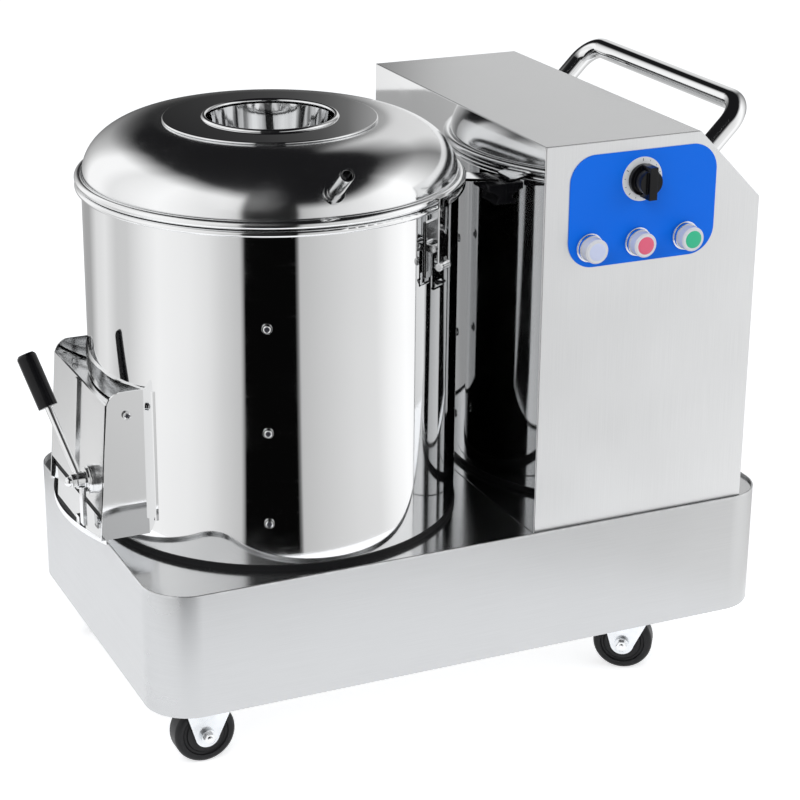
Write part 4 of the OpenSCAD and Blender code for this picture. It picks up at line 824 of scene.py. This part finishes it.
def set_camera():
    """The camera that took the photograph."""
    data = bpy.data.cameras.new("Photo camera")
    data.sensor_width = FILM_WIDTH
    data.lens = FILM_WIDTH * FOCAL_PIXELS / PHOTO_PIXELS
    data.clip_end = CAMERA_REACH
    eye = bpy.data.objects.new("Photo camera", data)
    bpy.context.scene.collection.objects.link(eye)
    turn = Matrix((CAMERA_RIGHT, CAMERA_UP, -CAMERA_AHEAD)).transposed().to_4x4()
    eye.matrix_world = Matrix.Translation(CAMERA_PLACE) @ turn
    bpy.context.scene.camera = eye


def seen_directly(tree):
    """One where a camera, mirror or glass ray looks, and nothing where light bounces."""
    path = tree.nodes.new("ShaderNodeLightPath")
    seen = maths(tree, "MAXIMUM", path.outputs["Is Camera Ray"], path.outputs["Is Glossy Ray"])
    return maths(tree, "MAXIMUM", seen, path.outputs["Is Transmission Ray"])


def set_world():
    """A white world to look at, which lights the machine more softly than it looks."""
    world = bpy.data.worlds.new("Studio")
    bpy.context.scene.world = world
    world.use_nodes = True
    tree = world.node_tree
    tree.nodes.clear()
    out = tree.nodes.new("ShaderNodeOutputWorld")
    soft = node(tree, "ShaderNodeBackground", Color=SKY_FILL, Strength=SKY_FILL_POWER)
    white = node(tree, "ShaderNodeBackground", Color=WHITE, Strength=1.0)
    mix = node(tree, "ShaderNodeMixShader", Fac=seen_directly(tree))
    put(tree, mix, 1, soft.outputs[0])
    put(tree, mix, 2, white.outputs[0])
    tree.links.new(mix.outputs[0], out.inputs["Surface"])


def set_floor():
    """A pale floor that fades into the white background."""
    work = bmesh.new()
    bmesh.ops.create_grid(work, x_segments=1, y_segments=1, size=FLOOR_HALF)
    made, tree, shader, place = start_material(
        "Pale floor", Roughness=0.8, Specular_IOR_Level=0.0, Emission_Color=WHITE)
    ground = tuple(bpy.context.scene.peeler_stage.ground)
    tone = sway(tree, noise(tree, place, FLOOR_CLOUD_SCALE), 1.0, share=0.01)
    tree.links.new(scaled_colour(tree, ground, tone), shader.inputs["Base Color"])
    glow = maths(tree, "MULTIPLY", seen_directly(tree), FLOOR_GLOW)
    tree.links.new(glow, shader.inputs["Emission Strength"])
    floor = mesh_object("Floor", work, made)


def soft_light(name, place, size, power):
    """A soft box that faces the machine."""
    data = bpy.data.lights.new(name, "AREA")
    data.shape = "RECTANGLE"
    data.size, data.size_y = size
    data.energy = power
    lamp = bpy.data.objects.new(name, data)
    bpy.context.scene.collection.objects.link(lamp)
    lamp.matrix_world = frame_along(Vector(place) - Vector(LIGHT_TARGET), place)


def set_lights():
    """The two soft boxes."""
    look = bpy.context.scene.peeler_stage
    soft_light("Key", KEY_PLACE, KEY_SIZE, look.key_power)
    soft_light("Fill", FILL_PLACE, FILL_SIZE, look.fill_power)


def linear(level):
    """The linear strength of a display grey from 0 to 255, by the curve that displays use."""
    share = level / 255
    return share / 12.92 if share < 0.04 else ((share + 0.055) / 1.055) ** 2.4


def wall_glow(level):
    """The strength of a wall that looks like a display grey once polished steel has mirrored it."""
    return linear(level) / MIRROR_SHARE


def ramp(tree, compass, stops, scale):
    """A value read by compass, which runs from 0 to 1 all the way round."""
    made = tree.nodes.new("ShaderNodeValToRGB")
    strip = made.color_ramp
    while len(strip.elements) > 1:
        strip.elements.remove(strip.elements[-1])
    for index, (degrees, value) in enumerate(stops):
        spot = (degrees + 180) / 360
        stop = strip.elements[0] if index == 0 else strip.elements.new(spot)
        stop.position = spot
        grey = scale(value)
        stop.color = (grey, grey, grey, 1)
    tree.links.new(compass, made.inputs["Fac"])
    return made.outputs["Color"]


def surround_material(name, stops, overhead):
    """Soft grey studio walls, told apart by compass angle and height about the drum."""
    made, tree, shader, place = start_material(
        name, Base_Color=BLACK, Specular_IOR_Level=0, Roughness=1, Emission_Strength=1)
    about = about_drum(tree, place)
    apart = node(tree, "ShaderNodeSeparateXYZ", Vector=about)
    turn = maths(tree, "ARCTAN2", apart.outputs["Y"], apart.outputs["X"])
    compass = spread(tree, turn, (-math.pi, math.pi), 0.0, 1.0)
    colour = ramp(tree, compass, stops, wall_glow)
    if overhead:
        reach = vector_maths(tree, "LENGTH", vector_maths(tree, "MULTIPLY", about, (1, 1, 0)))
        lift = maths(tree, "ARCTAN2", apart.outputs["Z"], reach)
        above = maths(tree, "SUBTRACT", lift, ramp(tree, compass, SKY_EDGE, math.radians))
        dark = spread(tree, above, (-OVERHEAD_BLUR, OVERHEAD_BLUR), 0.0, 1.0)
        colour = tint(tree, dark, colour, OVERHEAD)
    tree.links.new(colour, shader.inputs["Emission Color"])
    return made


def surround(name, work, stops, overhead):
    """A stage wall that only polished faces see."""
    piece = mesh_object(name, work, surround_material(name, stops, overhead))
    for ray in ("camera", "diffuse", "shadow", "transmission", "volume_scatter"):
        setattr(piece, "visible_" + ray, False)


def set_surround():
    """The ring of floor and the dome that polished faces mirror."""
    floor = revolve([(STUDIO_GAP, STUDIO_LIFT), (STUDIO_RADIUS, STUDIO_LIFT)], DRUM_AXIS)
    surround("Studio floor reflection", floor, ROUND_FLOOR, overhead=False)
    outline = arc((0, 0), STUDIO_RADIUS, 0, 90, DOME_STEPS)
    outline[-1] = (0, STUDIO_RADIUS)
    dome = revolve(outline, DRUM_AXIS)
    surround("Studio dome reflection", dome, ROUND_SKY, overhead=True)


# Base and casters

# Nut and bolt end on a wheel's axle
NUT = {"radius": 0.0062, "height": 0.0042, "chamfer": 0.0008, "sink": 0.0002}
BOLT_END = {"radius": 0.0030, "height": 0.0062, "chamfer": 0.0006, "sink": 0}
BOLT_STEPS = 24
HEXAGON = 6


class PEELER_OT_base(bpy.types.Operator):
    """Base skirt, deck and floor plate of brushed sheet"""
    bl_idname = "peeler.base"
    bl_label = "Base"

    def execute(self, context):
        soften("base_skirt", FOLD_CORNER)
        soften("deck_plate", FOLD_CORNER)
        wear_finish("bottom_plate", "machine_screws")
        return {"FINISHED"}


class PEELER_OT_casters(bpy.types.Operator):
    """Four swivel casters with rubber wheels"""
    bl_idname = "peeler.casters"
    bl_label = "Casters"

    def execute(self, context):
        wear_finish("caster_plates")
        for corner in CASTERS:
            soften("caster_fork_" + corner)
            soften("caster_wheel_" + corner)
            make_axle_nuts(corner)
        return {"FINISHED"}


def make_axle_nuts(corner):
    """A hexagon nut and a bolt end on each side of a caster's fork, outside the axle's round collar."""
    fork = "caster_fork_" + corner
    roll = JOINTS["roll_" + corner]
    hub, along = Vector(roll["pos_m"]), Vector(roll["axis"]).normalized()
    reach = max((vert.co - hub).dot(along) for vert in NODES[fork].data.vertices)
    pieces = []
    for out in (-along, along):
        face = hub + out * reach
        pieces.append(revolve(stud(**NUT), face, out, HEXAGON))
        pieces.append(revolve(stud(**BOLT_END), face, out, BOLT_STEPS))
    finish_mesh("axle_nuts_" + corner, join(*pieces), finishes()["bright"], BODY_OF[fork])


# Drum

# A fastener's head: its depth in metres, and its ring and socket as shares of its radius
HEAD_DEPTH = 0.001
RING_SHARE = 0.62
RING_TUBE_SHARE = 0.12
SOCKET_SHARE = 0.5
SOCKET_LIFT = 0.00012
SOCKET_SINK = 0.0003
RING_STEPS = 32
RING_AROUND = 8
# A face counts as upright below the first value and as part of the round wall above the second
UPRIGHT_SLOPE = 0.02
ROUND_FACING = 0.97


class PEELER_OT_drum(bpy.types.Operator):
    """Polished drum with its gasket, liner and rivets"""
    bl_idname = "peeler.drum"
    bl_label = "Drum"

    def execute(self, context):
        for name in ("drum_shell", "drum_gasket", "abrasive_liner"):
            round_wall(name)
        soften("liner_rivets")
        make_sockets("liner_rivets", away_from_drum)
        return {"FINISHED"}


def islands(work):
    """Lists of the vertices that hang together."""
    left = set(work.verts)
    found = []
    while left:
        waiting = [left.pop()]
        group = []
        while waiting:
            vert = waiting.pop()
            group.append(vert)
            for link in vert.link_edges:
                other = link.other_vert(vert)
                if other in left:
                    left.remove(other)
                    waiting.append(other)
        found.append(group)
    return found


def make_sockets(node_name, way_out):
    """A bright ring on the head of each fastener of a node, round a dark hexagon disc of painted shade that stands
    for the socket.
    """
    work = merged_copy(node_name)
    rings, hole_shades = [], []
    for group in islands(work):
        spots = [vert.co.copy() for vert in group]
        centre = sum(spots, Vector()) / len(spots)
        away = way_out(centre)
        reach = max((spot - centre).dot(away) for spot in spots)
        head = [spot for spot in spots if (spot - centre).dot(away) > reach - HEAD_DEPTH]
        radius = max(((spot - centre) - away * (spot - centre).dot(away)).length for spot in head)
        face = centre + away * reach
        ring, tube = radius * RING_SHARE, radius * RING_TUBE_SHARE
        rings.append(torus(face, away, ring, tube, RING_STEPS, RING_AROUND))
        # The socket is a dark hexagon disc just proud of the head: painted shade in place of a recess
        wide = radius * SOCKET_SHARE
        socket = [(0, SOCKET_LIFT), (wide, SOCKET_LIFT), (wide, -SOCKET_SINK)]
        hole_shades.append(revolve(socket, face, away, HEXAGON))
    work.free()
    body, slot = BODY_OF[node_name], SLOT_OF[node_name]
    finish_mesh(node_name + "_rings", join(*rings), finishes()["bright"], body)
    finish_mesh(node_name + "_socket_shades", join(*hole_shades), finishes()["ink"], body)


def round_wall(node_name):
    """Copies a node turned about the drum's axis and gives its upright walls true round shading."""
    piece = skin(node_name, merged_copy(node_name))
    mesh = piece.data
    wanted = [Vector(n.vector) for n in mesh.corner_normals]
    for face in mesh.polygons:
        if abs(face.normal.z) > UPRIGHT_SLOPE:
            continue
        for loop in face.loop_indices:
            away = away_from_drum(mesh.vertices[mesh.loops[loop].vertex_index].co)
            side = away.dot(face.normal)
            if abs(side) > ROUND_FACING:
                wanted[loop] = away if side > 0 else -away
    mesh.normals_split_custom_set(wanted)


# Discharge side

class PEELER_OT_spout(bpy.types.Operator):
    """Discharge spout, door and lever"""
    bl_idname = "peeler.spout"
    bl_label = "Spout"

    def execute(self, context):
        for name in ("discharge_spout", "door_panel", "door_pivots"):
            soften(name)
        make_sockets("door_pivots", out_of_spout)
        for name in ("lever_fasteners", "door_lever", "lever_grip"):
            soften(name)
        wear_finish("door_seal", "door_keeper")
        return {"FINISHED"}


# Lid and latches

# Section of the lid in metres: radii from the drum's axis, heights from the floor
LID_SHEET = 0.002
LID_RADIUS = 0.189
LID_FOOT = 0.5566
CURVE_FOOT = 0.560
CURVE_RISE = 0.052
CURVE_ACROSS = 0.074
MOUTH_RADIUS = 0.0677
CURVE_STEPS = 40
BEAD_RING = 0.1926
BEAD_RADIUS = 0.0042
FLANGE_OUTSIDE = 0.1925
FLANGE_TOP = 0.557
SPIGOT_OUTSIDE = 0.1877
SPIGOT_FOOT = 0.5442
LID_STEPS = 160
BEAD_AROUND = 24


def lid_outline():
    """Closed half section of the lid's sheet, from its foot over the dome to the mouth and back inside."""
    top = CURVE_FOOT + CURVE_RISE
    centre = LID_RADIUS - CURVE_ACROSS
    turns = [math.radians(90 * i / CURVE_STEPS) for i in range(CURVE_STEPS + 1)]
    curve = [(centre + CURVE_ACROSS * math.cos(a), CURVE_FOOT + CURVE_RISE * math.sin(a)) for a in turns]
    under = [(r - LID_SHEET, z - LID_SHEET) for r, z in reversed(curve)]
    return [(LID_RADIUS, LID_FOOT), *curve, (MOUTH_RADIUS, top),
            (MOUTH_RADIUS, top - LID_SHEET), *under, (LID_RADIUS - LID_SHEET, LID_FOOT)]


def flange_outline():
    """Closed half section of the flange under the bead and of the spigot that enters the drum."""
    inside = SPIGOT_OUTSIDE - LID_SHEET
    under = FLANGE_TOP - LID_SHEET
    return [(inside, under), (FLANGE_OUTSIDE, under), (FLANGE_OUTSIDE, FLANGE_TOP),
            (SPIGOT_OUTSIDE, FLANGE_TOP), (SPIGOT_OUTSIDE, SPIGOT_FOOT), (inside, SPIGOT_FOOT)]


class PEELER_OT_lid(bpy.types.Operator):
    """Domed lid with its feed mouth, bead, inlet and tab"""
    bl_idname = "peeler.lid"
    bl_label = "Lid"

    def execute(self, context):
        dome = revolve(lid_outline(), DRUM_AXIS, steps=LID_STEPS, closed=True)
        bead = torus(DRUM_AXIS + UP * FLANGE_TOP, UP, BEAD_RING, BEAD_RADIUS, LID_STEPS, BEAD_AROUND)
        flange = revolve(flange_outline(), DRUM_AXIS, steps=LID_STEPS, closed=True)
        sheet = join(dome, bead, flange)
        piece = finish_mesh("lid_skin", sheet, finishes()["lid"], "lid")
        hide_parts("lid_dome")
        soften("lid_funnel", TUBE_CORNER)
        wear_finish("lid_seal")
        soften("water_inlet", TUBE_CORNER)
        soften("interlock_tab")
        return {"FINISHED"}


class PEELER_OT_latches(bpy.types.Operator):
    """Two toggle latches and the lid switch"""
    bl_idname = "peeler.latches"
    bl_label = "Latches"

    def execute(self, context):
        for name in LATCH_NODES:
            soften(name)
        soften("interlock_switch")
        return {"FINISHED"}


# Cabinet and controls

# Faces that look up or to the far side by more than these shares get the satin finish
UPPER_FACING = 0.2
FAR_FACING = 0.5
# Half section of a button's lens in metres: radius, and height over the button's face
LENS_OUTLINE = ((0, 0.00035), (0.006, 0.00030), (0.0088, 0.00010), (0.0094, -0.0002), (0.0094, -0.0006))
LENS_STEPS = 64
# Marks of the dial; each kind has its length as a share of the tick size, and its width in metres
MARK_COUNT = 13
DIAL_SWEEP = 300
MARK_RING = 0.0196
MARK_THICK = 0.00016
MARK_PROUD = 0.00002
MARK_EDGE = 0.00003
LONG_MARK_EVERY = 3
LONG_MARK = (0.8, 0.0007)
SHORT_MARK = (0.45, 0.0005)


class PEELER_OT_cabinet(bpy.types.Operator):
    """Motor cabinet with its front and back sheets and fittings"""
    bl_idname = "peeler.cabinet"
    bl_label = "Cabinet"

    def execute(self, context):
        finish_outer_faces(soften("cabinet_shell"), finishes()["top"])
        soften("cabinet_front")
        soften("cabinet_back")
        soften("push_handle", TUBE_CORNER)
        soften("cable_gland")
        soften("drain_pipe", TUBE_CORNER)
        return {"FINISHED"}


def finish_outer_faces(piece, material):
    """Gives the top, the slope and the far wall a second finish; the wall beside the drum keeps its own."""
    piece.data.materials.append(material)
    for face in piece.data.polygons:
        if face.normal.z > UPPER_FACING or face.normal.x > FAR_FACING:
            face.material_index = 1


class PEELER_OT_controls(bpy.types.Operator):
    """Label, timer dial, knob and push buttons"""
    bl_idname = "peeler.controls"
    bl_label = "Controls"

    def execute(self, context):
        for name in ("control_label", "timer_dial", "timer_knob", "button_collars"):
            soften(name)
        for colour in BUTTONS:
            make_button(colour)
        make_dial_marks()
        wear_finish("switch_bodies")
        return {"FINISHED"}


def make_button(colour):
    """A push button's pale rim with a coloured lens let into it."""
    name = colour + "_button"
    soften(name)
    spot = middle(name)
    lens = revolve(LENS_OUTLINE, (spot.x, low(name).y, spot.z), FRONT, LENS_STEPS)
    finish_mesh(colour + "_lens", lens, finishes()["lens_" + colour], BODY_OF[name])


def make_dial_marks():
    """Printed marks round the timer dial."""
    face = low("timer_dial").y - MARK_PROUD
    marks = []
    for index in range(MARK_COUNT):
        angle = math.radians(90 - DIAL_SWEEP / (MARK_COUNT - 1) * index)
        share, width = SHORT_MARK if index % LONG_MARK_EVERY else LONG_MARK
        spot = (KNOB.x + MARK_RING * math.cos(angle), face, KNOB.z + MARK_RING * math.sin(angle))
        turn = Matrix.Rotation(-angle, 4, "Y")
        marks.append(bar((sizes().tick * share, MARK_THICK, width), spot, turn, MARK_EDGE))
    finish_mesh("dial_marks", join(*marks), finishes()["ink"], "frame")


# Drive

class PEELER_OT_drive(bpy.types.Operator):
    """Motor, belt, pulleys, spindle and disc"""
    bl_idname = "peeler.drive"
    bl_label = "Drive"

    def execute(self, context):
        wear_finish("motor_body", "motor_shaft", "motor_pulley", "drive_belt", "driven_pulley", "main_shaft",
                    "bearing_housing", "shaft_bearings", "shaft_seal", "peeling_disc")
        return {"FINISHED"}


class PEELER_PT_looks(bpy.types.Panel):
    """Lists the steps that dress the peeler"""
    bl_idname = "PEELER_PT_looks"
    bl_label = "Peeler"
    bl_space_type = "VIEW_3D"
    bl_region_type = "UI"
    bl_category = "Peeler"

    def draw(self, context):
        for step in STEPS:
            self.layout.operator(step.bl_idname)
        scene = context.scene
        for group in (scene.peeler_finish, scene.peeler_sizes, scene.peeler_stage):
            box = self.layout.box()
            for name in group.__annotations__:
                box.prop(group, name)


STEPS = (PEELER_OT_stage, PEELER_OT_base, PEELER_OT_casters, PEELER_OT_drum, PEELER_OT_spout, PEELER_OT_lid,
         PEELER_OT_latches, PEELER_OT_cabinet, PEELER_OT_controls, PEELER_OT_drive)
CLASSES = (PeelerFinish, PeelerSizes, PeelerStage) + STEPS + (PEELER_PT_looks,)


def register():
    for kind in CLASSES:
        bpy.utils.register_class(kind)
    bpy.types.Scene.peeler_finish = bpy.props.PointerProperty(type=PeelerFinish)
    bpy.types.Scene.peeler_sizes = bpy.props.PointerProperty(type=PeelerSizes)
    bpy.types.Scene.peeler_stage = bpy.props.PointerProperty(type=PeelerStage)


def unregister():
    del bpy.types.Scene.peeler_stage
    del bpy.types.Scene.peeler_sizes
    del bpy.types.Scene.peeler_finish
    for kind in reversed(CLASSES):
        bpy.utils.unregister_class(kind)


def main():
    register()
    bpy.context.scene.view_settings.view_transform = "Standard"
    bpy.ops.peeler.stage()
    bpy.ops.peeler.base()
    bpy.ops.peeler.casters()
    bpy.ops.peeler.drum()
    bpy.ops.peeler.spout()
    bpy.ops.peeler.lid()
    bpy.ops.peeler.latches()
    bpy.ops.peeler.cabinet()
    bpy.ops.peeler.controls()
    bpy.ops.peeler.drive()


if __name__ == "__main__":
    main()
